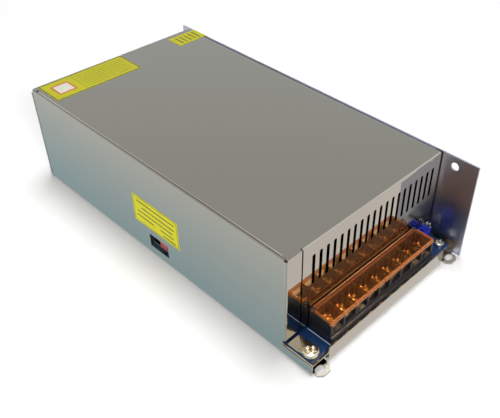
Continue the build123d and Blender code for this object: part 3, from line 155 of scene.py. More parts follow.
# %% [markdown]
# ## The floor
# The supply stands on white paper. Bright metal mirrors what lies round it: the left wall shows a bluish
# shade beside the case. A lamp or a tinted floor would change every other surface too, so mirrored rays
# alone see that shade, and all other rays see plain paper with the case's soft shadow on it. Away from
# the case the floor fades to the plain white of the room, so no edge or horizon shows.

# %% Floor plane
FLOOR_REACH = 3.0
# just under the object, so no face of it lies in the floor's plane
FLOOR_DROP = 0.15 * MM
floor_mesh = bpy.data.meshes.new("floor")
floor_corners = [(x * FLOOR_REACH, y * FLOOR_REACH, 0) for x, y in ((-1, -1), (1, -1), (1, 1), (-1, 1))]
floor_mesh.from_pydata(floor_corners, [], [(0, 1, 2, 3)])
floor = bpy.data.objects.new("floor", floor_mesh)
floor.location.z = -FLOOR_DROP
bpy.context.scene.collection.objects.link(floor)
print("floor:", 2 * FLOOR_REACH, "m across")

# %% Floor finish
CASE_LEFT = float(solid_low[0])
SHADE_REACH = 58 * MM
paper, tree, shader, place = new_material("white paper floor")
shader.inputs["Base Color"].default_value = linear("#FAFAFA")
shader.inputs["Roughness"].default_value = 0.9
shader.inputs["Specular IOR Level"].default_value = 0.1
print("paper:", paper.name)

# %% What mirrored rays see of the floor
# a painted shade, seen by mirrored rays only, that deepens towards the left wall, and warm paper right of
# it
light_path = add_node(tree, "ShaderNodeLightPath")
axes = add_node(tree, "ShaderNodeSeparateXYZ", Vector=place)
beside = add_node(
    tree, "ShaderNodeMapRange",
    Value=axes.outputs["X"], From_Min=CASE_LEFT - SHADE_REACH, From_Max=CASE_LEFT,
)
under = add_node(
    tree, "ShaderNodeMath", {"operation": "GREATER_THAN"}, _0=axes.outputs["X"], _1=CASE_LEFT
)
shade = add_node(
    tree, "ShaderNodeMix", {"data_type": "RGBA"},
    Factor=beside.outputs[0], A=linear("#E6EAE8"), B=linear("#ABC8D4"),
)
tinted = add_node(
    tree, "ShaderNodeMix", {"data_type": "RGBA"},
    Factor=under.outputs[0], A=shade.outputs["Result"], B=linear("#F6F1EE"),
)
mirrored = add_node(tree, "ShaderNodeEmission", Color=tinted.outputs["Result"], Strength=1.0)
seen = add_node(tree, "ShaderNodeMixShader", Fac=light_path.outputs["Is Glossy Ray"])
tree.links.new(shader.outputs[0], seen.inputs[1])
tree.links.new(mirrored.outputs[0], seen.inputs[2])
print("shade beside the case:", round(SHADE_REACH / MM), "mm wide")

# %% What the camera sees of the floor
# the paper near the case, and plain white away from it
SHADOW_REACH, PAPER_FADE = 0.22, 0.5
distance = add_node(tree, "ShaderNodeVectorMath", {"operation": "LENGTH"}, Vector=place)
fade = add_node(
    tree, "ShaderNodeMapRange",
    Value=distance.outputs["Value"], From_Min=SHADOW_REACH, From_Max=PAPER_FADE,
)
faded = add_node(
    tree, "ShaderNodeMath", {"operation": "MULTIPLY"},
    _0=light_path.outputs["Is Camera Ray"], _1=fade.outputs[0],
)
white = add_node(tree, "ShaderNodeEmission", Strength=1.0)
both = add_node(tree, "ShaderNodeMixShader", Fac=faded.outputs[0])
tree.links.new(seen.outputs[0], both.inputs[1])
tree.links.new(white.outputs[0], both.inputs[2])
show(tree, both.outputs[0])
floor_mesh.materials.append(paper)
print("floor finish:", len(tree.nodes), "nodes")

# %% [markdown]
# ## Cards behind the case
# A photographer shapes bright metal with cards out of the picture. A grey card stands straight behind,
# where the top mirrors it, so the top reads as grey metal and not as white paper. A dark card at the back
# left draws the dark line along the bend of the top. Real grey cards would darken the rest of the scene,
# so these are seen by mirrored rays only.


# %% Recipe for a card
def glossy_card(name, bearing, far, foot, width, height, colours, levels):
    """
    An upright card, far metres off at a bearing in the plan and foot metres up, seen by mirrored rays
    only. Its colour goes evenly from the first to the second between the two levels of height.
    """
    along = Vector((math.cos(bearing), math.sin(bearing), 0))
    away = Vector((-math.sin(bearing), math.cos(bearing), 0))
    middle = away * far + Vector((0, 0, foot))
    corners = [middle - along * width / 2, middle + along * width / 2]
    corners += [corner + Vector((0, 0, height)) for corner in reversed(corners)]
    card_mesh = bpy.data.meshes.new(name)
    card_mesh.from_pydata([tuple(corner) for corner in corners], [], [(0, 1, 2, 3)])
    card = bpy.data.objects.new(name, card_mesh)
    bpy.context.scene.collection.objects.link(card)

    material, tree, shader, place = new_material(name)
    tree.nodes.remove(shader)
    axes = add_node(tree, "ShaderNodeSeparateXYZ", Vector=place)
    rise = add_node(
        tree, "ShaderNodeMapRange", Value=axes.outputs["Z"], From_Min=levels[0], From_Max=levels[1]
    )
    colour = add_node(
        tree, "ShaderNodeMix", {"data_type": "RGBA"},
        Factor=rise.outputs[0], A=linear(colours[0]), B=linear(colours[1]),
    )
    light_path = add_node(tree, "ShaderNodeLightPath")
    glow = add_node(tree, "ShaderNodeEmission", Color=colour.outputs["Result"], Strength=1.0)
    clear = add_node(tree, "ShaderNodeBsdfTransparent")
    seen = add_node(tree, "ShaderNodeMixShader", Fac=light_path.outputs["Is Glossy Ray"])
    tree.links.new(clear.outputs[0], seen.inputs[1])
    tree.links.new(glow.outputs[0], seen.inputs[2])
    show(tree, seen.outputs[0])
    card_mesh.materials.append(material)


# %% Grey card and dark card
glossy_card(
    "grey_card", bearing=AZIMUTH, far=2.2, foot=0.35, width=6.0, height=4.6,
    colours=("#C8CFD2", "#BEC0BF"), levels=(0.95, 1.75),
)
glossy_card(
    "dark_card", bearing=math.radians(50), far=2.6, foot=0.3, width=1.7, height=2.4,
    colours=("#453E38", "#5A534C"), levels=(0.5, 2.0),
)

# %% [markdown]
# ## Light
# The room is a soft white. An even room would light the top and the walls alike and leave no shadow, so
# it is brighter at the horizon than overhead: the upright faces are lit by the room, the level ones by a
# large box overhead, and the case throws a soft shadow. A small box in front gives the screws and the
# clear cover their glints. The camera, mirrored rays and bent rays see the room as plain white.

# %% Room
HORIZON_LEVEL, ZENITH_LEVEL = 1.0, 0.15
# the height on a sphere of radius 1 where the overhead level is reached
DIM_ABOVE = 0.5
world = bpy.data.worlds.new("white room")
bpy.context.scene.world = world
world.use_nodes = True
tree = world.node_tree
tree.nodes.clear()
light_path = add_node(tree, "ShaderNodeLightPath")
shown = add_node(
    tree, "ShaderNodeMath", {"operation": "MAXIMUM"},
    _0=light_path.outputs["Is Camera Ray"], _1=light_path.outputs["Is Glossy Ray"],
)
shown = add_node(
    tree, "ShaderNodeMath", {"operation": "MAXIMUM"},
    _0=shown.outputs[0], _1=light_path.outputs["Is Transmission Ray"],
)
axes = add_node(
    tree, "ShaderNodeSeparateXYZ", Vector=add_node(tree, "ShaderNodeTexCoord").outputs["Generated"]
)
height = add_node(
    tree, "ShaderNodeMapRange",
    Value=axes.outputs["Z"], From_Max=DIM_ABOVE, To_Min=HORIZON_LEVEL, To_Max=ZENITH_LEVEL,
)
strength = add_node(
    tree, "ShaderNodeMix", {"data_type": "FLOAT"}, Factor=shown.outputs[0], A=height.outputs[0], B=1.0
)
sky = add_node(tree, "ShaderNodeBackground", Color=(1, 1, 1, 1), Strength=strength.outputs["Result"])
add_node(tree, "ShaderNodeOutputWorld", Surface=sky.outputs[0])
print("room light:", HORIZON_LEVEL, "at the horizon,", ZENITH_LEVEL, "overhead")


# %% Soft boxes
def soft_box(name, place, aim, width, power):
    """A square lamp of a width in metres and a power in watts that faces the point it aims at."""
    lamp = bpy.data.objects.new(name, bpy.data.lights.new(name, "AREA"))
    bpy.context.scene.collection.objects.link(lamp)
    lamp.data.size = width
    lamp.data.energy = power
    lamp.location = place
    lamp.rotation_mode = "QUATERNION"
    lamp.rotation_quaternion = (Vector(aim) - Vector(place)).to_track_quat("-Z", "Y")


soft_box("overhead_box", place=(0.2, 0.1, 1.5), aim=(0, 0, 0), width=0.7, power=18.5)
soft_box("front_box", place=(-0.5, -1.3, 0.9), aim=(0, 0, 0.03), width=0.22, power=8.0)

# %% [markdown]
# ## Metals
# Each metal here was rolled, drawn or turned, and that leaves fine lines in one direction, which spread
# a reflection across them. One even roughness would look like painted chrome, so the roughness varies a
# little with noise that is stretched along the grain, and the same noise is a very low bump. The scale
# of the noise is the spacing of the lines in millimetres.


# %% Recipe for a metal
CLOUD_SIZE = 35 * MM
GRAIN_SQUEEZE = 0.04
NOISE_LOW, NOISE_HIGH = 0.6, 1.4


def metal(name, hex_colour, roughness, grain_mm, grain_axis=1, uneven=0.06, depth_mm=0.02):
    """
    A metal with streaks along one axis, grain_mm apart. Its roughness goes from uneven below the given
    value to uneven above it, with the sum of the streaks and a wide cloud. The streaks are its height.
    """
    material, tree, shader, place = new_material(name)
    stretch = [1.0, 1.0, 1.0]
    stretch[grain_axis] = GRAIN_SQUEEZE
    mapping = add_node(tree, "ShaderNodeMapping", Vector=place, Scale=stretch)
    grain = add_node(
        tree, "ShaderNodeTexNoise", Vector=mapping.outputs[0], Scale=1 / (grain_mm * MM), Detail=3.0
    )
    cloud = add_node(tree, "ShaderNodeTexNoise", Vector=place, Scale=1 / CLOUD_SIZE, Detail=2.0)
    blend = add_node(
        tree, "ShaderNodeMath", {"operation": "ADD"}, _0=grain.outputs[0], _1=cloud.outputs[0]
    )
    rough = add_node(
        tree, "ShaderNodeMapRange", Value=blend.outputs[0], From_Min=NOISE_LOW, From_Max=NOISE_HIGH,
        To_Min=roughness - uneven, To_Max=roughness + uneven,
    )
    bump = add_node(
        tree, "ShaderNodeBump", Height=grain.outputs[0], Strength=0.25, Distance=depth_mm * MM
    )
    shader.inputs["Base Color"].default_value = linear(hex_colour)
    shader.inputs["Metallic"].default_value = 1.0
    tree.links.new(rough.outputs[0], shader.inputs["Roughness"])
    tree.links.new(bump.outputs[0], shader.inputs["Normal"])
    return material


def dress(material, *nodes):
    """Gives a finish to carried-over solids."""
    for node in nodes:
        mesh = frame["nodes"][node].data
        mesh.materials.clear()
        mesh.materials.append(material)


print("streaks are", round(1 / GRAIN_SQUEEZE), "times as long as they are wide")

# %% [markdown]
# ## Sheet steel of the case
# The case is cold-rolled steel with a bright zinc finish, nearly a mirror: the block and its cover show
# again in the slotted wall. The tall right wall is duller, and its colour is painted bluish, a painted
# reflection of the blue that it mirrors; the mounting ears are worn. Separate materials would need the
# folded sheet cut up, so one material changes by place: across a millimetre at the right wall, and at the
# ears' reach and height.

# %% Rolled steel
# the second colour is painted on the right wall: a bluish painted reflection of the blue that it mirrors
BRIGHT_ZINC, BLUE_REFLECTION_PAINT = "#B7B2A8", "#BABECC"
# the real grain is finer than a pixel of the picture, and is drawn 0.5 mm apart so that it shows
rolled_steel = metal(
    "bright rolled steel", BRIGHT_ZINC, roughness=0.045, grain_mm=0.5, uneven=0.015, depth_mm=0.004
)
dress(rolled_steel, "chassis", "top_cover")
print("dressed:", rolled_steel.name)

# %% Duller right wall
WALL_STARTS, WALL_FULL, WALL_ROUGHER = 60 * MM, 61 * MM, 0.27
tree = rolled_steel.node_tree
shader = tree.nodes["Principled BSDF"]
place = tree.nodes["Texture Coordinate"].outputs["Object"]
axes = add_node(tree, "ShaderNodeSeparateXYZ", Vector=place)
wall = add_node(
    tree, "ShaderNodeMapRange", Value=axes.outputs["X"], From_Min=WALL_STARTS, From_Max=WALL_FULL
)
duller = add_node(
    tree, "ShaderNodeMath", {"operation": "MULTIPLY_ADD"},
    _0=wall.outputs[0], _1=WALL_ROUGHER, _2=shader.inputs["Roughness"].links[0].from_socket,
)
# the right wall's base colour is painted bluish, a painted reflection of the blue that the wall mirrors
wall_reflection_tint = add_node(
    tree, "ShaderNodeMix", {"data_type": "RGBA"},
    Factor=wall.outputs[0], A=linear(BRIGHT_ZINC), B=linear(BLUE_REFLECTION_PAINT),
)
tree.links.new(wall_reflection_tint.outputs["Result"], shader.inputs["Base Color"])
print("right wall from", round(WALL_STARTS / MM, 1), "mm")

# %% Worn ears
EARS_BEYOND, EARS_BELOW, EARS_ROUGHER = 118.5 * MM, 1.6 * MM, 0.4
outer = add_node(tree, "ShaderNodeMath", {"operation": "ABSOLUTE"}, _0=axes.outputs["Y"])
beyond = add_node(
    tree, "ShaderNodeMath", {"operation": "GREATER_THAN"}, _0=outer.outputs[0], _1=EARS_BEYOND
)
below = add_node(
    tree, "ShaderNodeMath", {"operation": "LESS_THAN"}, _0=axes.outputs["Z"], _1=EARS_BELOW
)
ear = add_node(
    tree, "ShaderNodeMath", {"operation": "MULTIPLY"}, _0=beyond.outputs[0], _1=below.outputs[0]
)
worn = add_node(
    tree, "ShaderNodeMath", {"operation": "MULTIPLY_ADD"},
    _0=ear.outputs[0], _1=EARS_ROUGHER, _2=duller.outputs[0],
)
tree.links.new(worn.outputs[0], shader.inputs["Roughness"])
print("rolled steel:", len(tree.nodes), "nodes")

# %% [markdown]
# ## Metals of the fittings
# The screws, contacts and heatsinks use the same recipe. What tells them apart is colour, roughness and
# the direction of the grain, so each is one call, under a comment that says what the metal is.

# %% Screws, contacts and heatsinks
# cold-headed steel plated with zinc: grey, with a satin shine
zinc_steel = metal(
    "zinc plated screw steel", "#B9B7B0", roughness=0.24, grain_mm=0.3, grain_axis=2, uneven=0.04
)
# pressed steel plated with nickel: warmer and brighter than zinc, with small sharp glints
nickel = metal("nickel plated steel", "#D8CBB4", roughness=0.13, grain_mm=0.4, uneven=0.03)
# stamped brass with a tin coat: pale, with a soft shine
tinned_brass = metal("tinned contact brass", "#C9C3B4", roughness=0.28, grain_mm=0.3, uneven=0.05)
# aluminium pressed through a die: lines along its length that smear the light
aluminium = metal(
    "extruded aluminium", "#C6C8CA", roughness=0.32, grain_mm=0.6, uneven=0.08, depth_mm=0.04
)
# brass turned on a lathe: yellow, with a soft shine
turned_brass = metal(
    "turned brass", "#C9A85C", roughness=0.25, grain_mm=0.2, grain_axis=2, uneven=0.05
)
# lacquered copper wire wound side by side: the streaks are as wide and deep as its turns
enamelled_copper = metal(
    "enamelled copper wire", "#B8682F", roughness=0.3, grain_mm=1.2, grain_axis=2, uneven=0.05, depth_mm=0.5
)
# drawn resistance wire, bare: dull brown
manganin = metal("bare manganin wire", "#9A7350", roughness=0.35, grain_mm=0.3, uneven=0.05)

dress(zinc_steel, "clamp_bars", "clamp_screws", "cover_screws", "rear_screws", "fan_screws", "board_screws")
dress(nickel, "board_clip", "clip_screw", "terminal_screws")
dress(tinned_brass, "terminal_plates", "terminal_washers", "fuse_clips")
dress(aluminium, "primary_heatsink", "output_heatsink")
dress(turned_brass, "board_standoffs")
dress(enamelled_copper, "filter_choke_winding", "output_choke_winding", "fan_stator")
dress(manganin, "current_shunts")
print("materials so far:", len(bpy.data.materials))

# %% [markdown]
# ## Moulded and coated parts
# Moulded plastic takes a very fine texture from its mould, and its IOR is near 1.5. Its colour is never
# quite even, so a wide cloud of noise darkens it by up to a fifth, and fine noise is a low bump. Paper,
# tape, sleeve and ferrite differ from plastic in roughness and in the size of their texture, so the same
# recipe serves them.


# %% Recipe for a moulded or coated surface
SHADE_SIZE = 9 * MM
SHADE_DARKEST = 0.8
PLASTIC_IOR = 1.5


def moulded(name, hex_colour, roughness, texture_mm=0.4, depth_mm=0.01):
    """A colour that goes from the given one to its darkest with a cloud. Fine noise is its height."""
    material, tree, shader, place = new_material(name)
    fine = add_node(tree, "ShaderNodeTexNoise", Vector=place, Scale=1 / (texture_mm * MM), Detail=2.0)
    cloud = add_node(tree, "ShaderNodeTexNoise", Vector=place, Scale=1 / SHADE_SIZE, Detail=3.0)
    colour = add_node(
        tree, "ShaderNodeMix", {"data_type": "RGBA"}, Factor=cloud.outputs[0],
        A=linear(hex_colour), B=[channel * SHADE_DARKEST for channel in linear(hex_colour)],
    )
    bump = add_node(
        tree, "ShaderNodeBump", Height=fine.outputs[0], Strength=0.3, Distance=depth_mm * MM
    )
    tree.links.new(colour.outputs["Result"], shader.inputs["Base Color"])
    tree.links.new(bump.outputs[0], shader.inputs["Normal"])
    shader.inputs["Roughness"].default_value = roughness
    shader.inputs["IOR"].default_value = PLASTIC_IOR
    return material


print("colour falls to", SHADE_DARKEST, "in clouds", round(SHADE_SIZE / MM), "mm wide")

# %% Plastics
# phenolic resin pressed in a polished mould: black with a clear soft shine
black_phenolic = moulded("black moulded block plastic", "#15171C", roughness=0.3)
# nylon filled with glass fibre: duller, because the fibres come near its surface
fan_nylon = moulded("black fan nylon", "#191A1B", roughness=0.5, texture_mm=0.7, depth_mm=0.02)
# epoxy moulded round a chip in an eroded mould: matt black
epoxy = moulded("black epoxy package", "#1A1A1C", roughness=0.55, texture_mm=0.25, depth_mm=0.02)
# polyester of the trimmer: a strong even blue
blue_box = moulded("blue trimmer plastic", "#0822AC", roughness=0.3)
# unfilled nylon of the connectors: milky white
white_nylon = moulded("white nylon", "#E4E2DA", roughness=0.4)
# acetal of the selector's slide and nylon round it: a smooth red in a black frame
red_slide = moulded("red slider plastic", "#C2281C", roughness=0.35)
switch_black = moulded("black switch plastic", "#101112", roughness=0.4)
# moulded shells of the capacitors and the relay: glossy yellow and blue
yellow_box = moulded("yellow capacitor box", "#D6A821", roughness=0.4)
relay_blue = moulded("blue relay shell", "#1C4A8C", roughness=0.35)

dress(black_phenolic, "terminal_block")
dress(fan_nylon, "fan_frame", "fan_rotor")
dress(epoxy, "power_transistors", "output_rectifiers", "bridge_rectifier", "control_chip")
dress(blue_box, "trimmer_body", "trimmer_rotor")
dress(white_nylon, "fan_header", "fan_plug")
dress(red_slide, "selector_slider")
dress(switch_black, "selector_body")
dress(yellow_box, "film_capacitors")
dress(relay_blue, "relay")
print("materials so far:", len(bpy.data.materials))

# %% Coats, tapes and paper
# sleeve shrunk with heat over a can: tight and glossy, with long slow ripples
dark_sleeve = moulded("dark shrink sleeve", "#20263A", roughness=0.28, texture_mm=1.5, depth_mm=0.03)
# dipped coat of the disc: thick and slightly lumpy
coated_disc = moulded("dark green disc coating", "#26352B", roughness=0.5, texture_mm=0.6, depth_mm=0.03)
# fired powder: dull dark grey with fine pores
ferrite = moulded("sintered ferrite", "#2B2B2D", roughness=0.62, texture_mm=0.3, depth_mm=0.03)
# sprayed coat of the ring core: satin green
core_green = moulded("green coated ring core", "#2F6B45", roughness=0.45, texture_mm=0.5, depth_mm=0.02)
# polyester tape round the windings: smooth, and it bridges the wires in soft waves
winding_tape = moulded("yellow winding tape", "#D9BE3A", roughness=0.35, texture_mm=2.0, depth_mm=0.05)
# filled silicone rubber: matt grey
grey_pad = moulded("grey silicone pad", "#8C9096", roughness=0.7, texture_mm=0.3, depth_mm=0.02)
# soft vinyl round the fan's wires: dark, with a dull shine
soft_lead = moulded("black lead sleeve", "#17171A", roughness=0.45)
# film under the board: milky and smooth
film_sheet = moulded("milky polyester film", "#D8D8CC", roughness=0.35, texture_mm=3.0, depth_mm=0.02)
# coated paper: flat yellow, with hardly any shine. The sticker on the side is the same paper, painted
# lighter for the stronger light that falls on the side
yellow_paper = moulded("yellow sticker paper", "#B8B40E", roughness=0.7, texture_mm=0.3, depth_mm=0.005)
side_paper_painted_lighter = moulded(
    "side sticker paper painted lighter", "#F6F012", roughness=0.7, texture_mm=0.3, depth_mm=0.005
)

dress(dark_sleeve, "bulk_capacitors", "output_capacitors")
dress(coated_disc, "inrush_thermistor")
dress(ferrite, "transformer_core", "filter_choke_core")
dress(core_green, "output_choke_core")
dress(winding_tape, "transformer_winding", "driver_transformer")
dress(grey_pad, "insulating_pads")
dress(soft_lead, "fan_lead")
dress(film_sheet, "insulating_film")
dress(yellow_paper, "top_label", "seal_label")
# the side sticker: the same paper, painted lighter for the light on the side
dress(side_paper_painted_lighter, "side_label")
print("materials so far:", len(bpy.data.materials))

# %% [markdown]
# ## Circuit board
# The board is woven glass fibre under a glossy blue solder mask. The weave shows through the mask as a
# faint check, 0.5 mm a thread, and the mask is a little thicker in some places than in others, which
# changes its depth of colour. A plain blue would look like painted card.

# %% Solder mask
THREAD, PATCH = 0.5 * MM, 6 * MM
solder_mask, tree, shader, place = new_material("blue solder mask on glass fibre")
weave = add_node(tree, "ShaderNodeTexChecker", Vector=place, Scale=1 / THREAD)
patch = add_node(tree, "ShaderNodeTexNoise", Vector=place, Scale=1 / PATCH, Detail=4.0)
mask_colour = add_node(
    tree, "ShaderNodeMix", {"data_type": "RGBA"},
    Factor=patch.outputs[0], A=linear("#0C2548"), B=linear("#14386C"),
)
height = add_node(
    tree, "ShaderNodeMath", {"operation": "ADD"}, _0=weave.outputs["Fac"], _1=patch.outputs[0]
)
bump = add_node(tree, "ShaderNodeBump", Height=height.outputs[0], Strength=0.15, Distance=0.01 * MM)
tree.links.new(mask_colour.outputs["Result"], shader.inputs["Base Color"])
tree.links.new(bump.outputs[0], shader.inputs["Normal"])
shader.inputs["Roughness"].default_value = 0.22
shader.inputs["IOR"].default_value = 1.55
dress(solder_mask, "main_board", "control_board")
print("solder mask:", len(tree.nodes), "nodes")

# %% [markdown]
# ## Clear plastics and glass
# The flip cover is clear polycarbonate tinted amber. Light goes through it twice, down to the screws
# and back, so the tint is kept light. Light that travels inside the sheet leaves by its edges, which
# look a stronger amber, so that glow is painted in there as a diffuse amber: painted light. Lamps shine
# through the cover: a shadow ray meets a tinted window in it, since light bent by a clear body is found
# only by chance.


# %% Recipe for a clear material
WAVE = 7 * MM
WAVE_DEPTH = 0.3 * MM


def clear_plastic(name, hex_colour, roughness, ior):
    """A transmissive plastic with a faint wave in its surface from moulding: wide noise is its height."""
    material, tree, shader, place = new_material(name)
    wave = add_node(tree, "ShaderNodeTexNoise", Vector=place, Scale=1 / WAVE, Detail=1.0)
    bump = add_node(tree, "ShaderNodeBump", Height=wave.outputs[0], Strength=0.2, Distance=WAVE_DEPTH)
    tree.links.new(bump.outputs[0], shader.inputs["Normal"])
    shader.inputs["Base Color"].default_value = linear(hex_colour)
    shader.inputs["Roughness"].default_value = roughness
    shader.inputs["IOR"].default_value = ior
    shader.inputs["Transmission Weight"].default_value = 1.0
    return material


# the lamp is moulded clear epoxy, and the fuse is drawn glass tube: both bend light strongly
dress(clear_plastic("clear lamp epoxy", "#E9F2EA", roughness=0.05, ior=1.5), "indicator_lamp")
dress(clear_plastic("fuse glass", "#EDF3F2", roughness=0.02, ior=1.5), "fuse")
print("clear waves:", round(WAVE / MM), "mm apart")

# %% Amber plastic
amber = clear_plastic("amber polycarbonate", "#F7C58C", roughness=0.03, ior=1.585)
tree = amber.node_tree
shader = tree.nodes["Principled BSDF"]
shader.inputs["Specular Tint"].default_value = linear("#E09A60")
# a diffuse amber: a small share on the faces, and a painted glow at the edges for light the sheet carries
amber_diffuse_and_edge_glow = add_node(tree, "ShaderNodeBsdfDiffuse", Color=linear("#C67430"))
dress(amber, "terminal_cover")
print("dressed:", amber.name)

# %% Painted glow at the cover's edges
# a painted amber glow grows between two distances from the cover's outline, across it and along it
GLOW_STARTS, GLOW_FULL = 1.3 * MM, 0.3 * MM
FACE_DYE, EDGE_GLOW = 0.025, 0.45
low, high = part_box("terminal_cover")
place = tree.nodes["Texture Coordinate"].outputs["Object"]
axes = add_node(tree, "ShaderNodeSeparateXYZ", Vector=place)
edges = []
for axis in (0, 1):
    middle, half = (low[axis] + high[axis]) / 2, (high[axis] - low[axis]) / 2
    offset = add_node(
        tree, "ShaderNodeMath", {"operation": "SUBTRACT"}, _0=axes.outputs[axis], _1=middle
    )
    away = add_node(tree, "ShaderNodeMath", {"operation": "ABSOLUTE"}, _0=offset.outputs[0])
    grown = add_node(
        tree, "ShaderNodeMapRange", Value=away.outputs[0],
        From_Min=half - GLOW_STARTS, From_Max=half - GLOW_FULL, To_Min=FACE_DYE, To_Max=EDGE_GLOW,
    )
    edges.append(grown.outputs[0])
strongest = add_node(tree, "ShaderNodeMath", {"operation": "MAXIMUM"}, _0=edges[0], _1=edges[1])
clear_with_edge_glow = add_node(tree, "ShaderNodeMixShader", Fac=strongest.outputs[0])
tree.links.new(shader.outputs[0], clear_with_edge_glow.inputs[1])
tree.links.new(amber_diffuse_and_edge_glow.outputs[0], clear_with_edge_glow.inputs[2])
print("dye:", FACE_DYE, "on the face,", EDGE_GLOW, "at the edges")

# %% Window for shadow rays
light_path = add_node(tree, "ShaderNodeLightPath")
window = add_node(tree, "ShaderNodeBsdfTransparent", Color=linear("#F8C890"))
seen = add_node(tree, "ShaderNodeMixShader", Fac=light_path.outputs["Is Shadow Ray"])
tree.links.new(clear_with_edge_glow.outputs[0], seen.inputs[1])
tree.links.new(window.outputs[0], seen.inputs[2])
show(tree, seen.outputs[0])
print("amber:", len(tree.nodes), "nodes")

# %% [markdown]
# ## Eased edges
# No moulding or pressing has a perfectly sharp edge: a small round catches a thin line of light. The
# rounds could be cut in the solid model, but they would make it heavy. Here each moulded or rounded
# solid is copied, its loose triangles are merged, and a narrow Bevel modifier rounds the edges. Facets
# that stand for a round form meet at a small angle, so they are shaded smooth.

# %% Bevelled copies
SAME_POINT, FLAT_WITHIN, BEVEL_STEPS = 0.001 * MM, 1, 2
bodies = frame["record"]["behaviour"]["bodies"]
rides_on = {node: body for body, nodes in bodies.items() for node in nodes}


def eased(node, width_mm, smooth_below):
    """A merged copy of a solid, bevelled where faces meet at more than smooth_below degrees."""
    source = frame["nodes"][node].data
    mesh = source.copy()
    mesh.name = node + "_eased"
    shell = bmesh.new()
    shell.from_mesh(mesh)
    flat = math.radians(FLAT_WITHIN)
    bmesh.ops.remove_doubles(shell, verts=shell.verts, dist=SAME_POINT)
    bmesh.ops.dissolve_limit(shell, angle_limit=flat, verts=shell.verts, edges=shell.edges)
    bmesh.ops.recalc_face_normals(shell, faces=shell.faces)
    shell.to_mesh(mesh)
    shell.free()
    mesh.polygons.foreach_set("use_smooth", np.ones(len(mesh.polygons), bool))
    mesh.set_sharp_from_angle(angle=math.radians(smooth_below))
    copy = bpy.data.objects.new(node + "_eased", mesh)
    bpy.context.scene.collection.objects.link(copy)
    bevel = copy.modifiers.new("eased edge", "BEVEL")
    bevel.width = width_mm * MM
    bevel.segments = BEVEL_STEPS
    bevel.limit_method = "ANGLE"
    bevel.angle_limit = math.radians(smooth_below)
    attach(copy, rides_on[node])
    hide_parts(node)


print("bodies:", sorted(bodies))

# %% Widths of the eased edges, in millimetres
SQUARE_FORMS = {
    "terminal_block": 0.35, "terminal_cover": 0.15, "trimmer_body": 0.25, "trimmer_rotor": 0.08,
    "board_clip": 0.08, "selector_body": 0.15, "selector_slider": 0.2, "film_capacitors": 0.5, "relay": 0.5,
    "fan_header": 0.15, "fan_plug": 0.15, "power_transistors": 0.3, "output_rectifiers": 0.3,
    "bridge_rectifier": 0.3, "terminal_plates": 0.08, "terminal_washers": 0.12, "transformer_core": 0.3,
}
ROUND_FORMS = {
    "bulk_capacitors": 0.8, "output_capacitors": 0.4, "filter_choke_core": 0.5, "output_choke_core": 0.5,
    "fan_frame": 0.25, "fan_rotor": 0.1, "fan_lead": 0.1, "inrush_thermistor": 0.3, "fuse": 0.1,
    "indicator_lamp": 0.1,
}
SQUARE_ANGLE, ROUND_ANGLE = 28, 42
for node, width in SQUARE_FORMS.items():
    eased(node, width, SQUARE_ANGLE)
for node, width in ROUND_FORMS.items():
    eased(node, width, ROUND_ANGLE)
print("eased:", len(SQUARE_FORMS) + len(ROUND_FORMS), "solids")

# %% [markdown]
# ## Surfaces on a grid
# The screws and the printed lines are new pieces. They could be built from ready-made cylinders and
# cubes, but a surface worked out as a grid of points gives the dome, the cross and the closed ends in
# one piece, and many copies in one mesh.


# %% Grids to meshes
MERGE_BELOW = 0.0005 * MM
CREASE_ANGLE = 40


def surface(name, grids, material, like, smooth=True):
    """Copies of a grid of points as one mesh, its columns closed. It rides with the solid it is like."""
    copies, rows, columns = grids.shape[:3]
    index = np.arange(copies * rows * columns).reshape(copies, rows, columns)
    onward = np.roll(index, -1, axis=2)
    faces = np.stack([index[:, :-1], onward[:, :-1], onward[:, 1:], index[:, 1:]], axis=-1)
    mesh = bpy.data.meshes.new(name)
    mesh.from_pydata(grids.reshape(-1, 3).tolist(), [], faces.reshape(-1, 4).tolist())
    shell = bmesh.new()
    shell.from_mesh(mesh)
    bmesh.ops.remove_doubles(shell, verts=shell.verts, dist=MERGE_BELOW)
    bmesh.ops.recalc_face_normals(shell, faces=shell.faces)
    shell.to_mesh(mesh)
    shell.free()
    mesh.polygons.foreach_set("use_smooth", np.full(len(mesh.polygons), smooth))
    mesh.set_sharp_from_angle(angle=math.radians(CREASE_ANGLE))
    mesh.materials.append(material)
    piece = bpy.data.objects.new(name, mesh)
    bpy.context.scene.collection.objects.link(piece)
    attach(piece, rides_on[like])
    return piece


def placed(grid, places, axis):
    """Copies in metres of a grid in millimetres at each place, its own +Z turned to the axis."""
    turn = np.array(Vector((0, 0, 1)).rotation_difference(Vector(axis)).to_matrix())
    return (grid * MM)[None] @ turn.T + (np.asarray(places, float) * MM).reshape(-1, 1, 1, 3)


def box_mm(node):
    """A node's lowest and highest corner in millimetres."""
    low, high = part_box(node)
    return np.array(low) / MM, np.array(high) / MM


print("points nearer than", MERGE_BELOW / MM, "mm are merged")

# %% [markdown]
# ## Screws
# The screws of such a supply are pan-headed with a cross recess, and the three in the side wall are
# countersunk. A screw is turned, so its surface is a profile carried round its axis. The recess is
# pressed into the head afterwards: points of the head that lie in either arm of the cross sink.

# %% Profiles of screws
AROUND, HEAD_ROWS = 48, 16
ANGLES = np.linspace(0, 2 * math.pi, AROUND, endpoint=False)
RIM_SHARE, DOME_REACH = 0.55, 0.97


def turned(profile):
    """A profile of (radius, height) carried round +Z: row i, column j is (r cos t, r sin t, z)."""
    radius, height = np.asarray(profile, float).T
    return np.stack(
        [
            radius[:, None] * np.cos(ANGLES),
            radius[:, None] * np.sin(ANGLES),
            np.broadcast_to(height[:, None], (len(radius), len(ANGLES))),
        ],
        axis=-1,
    )


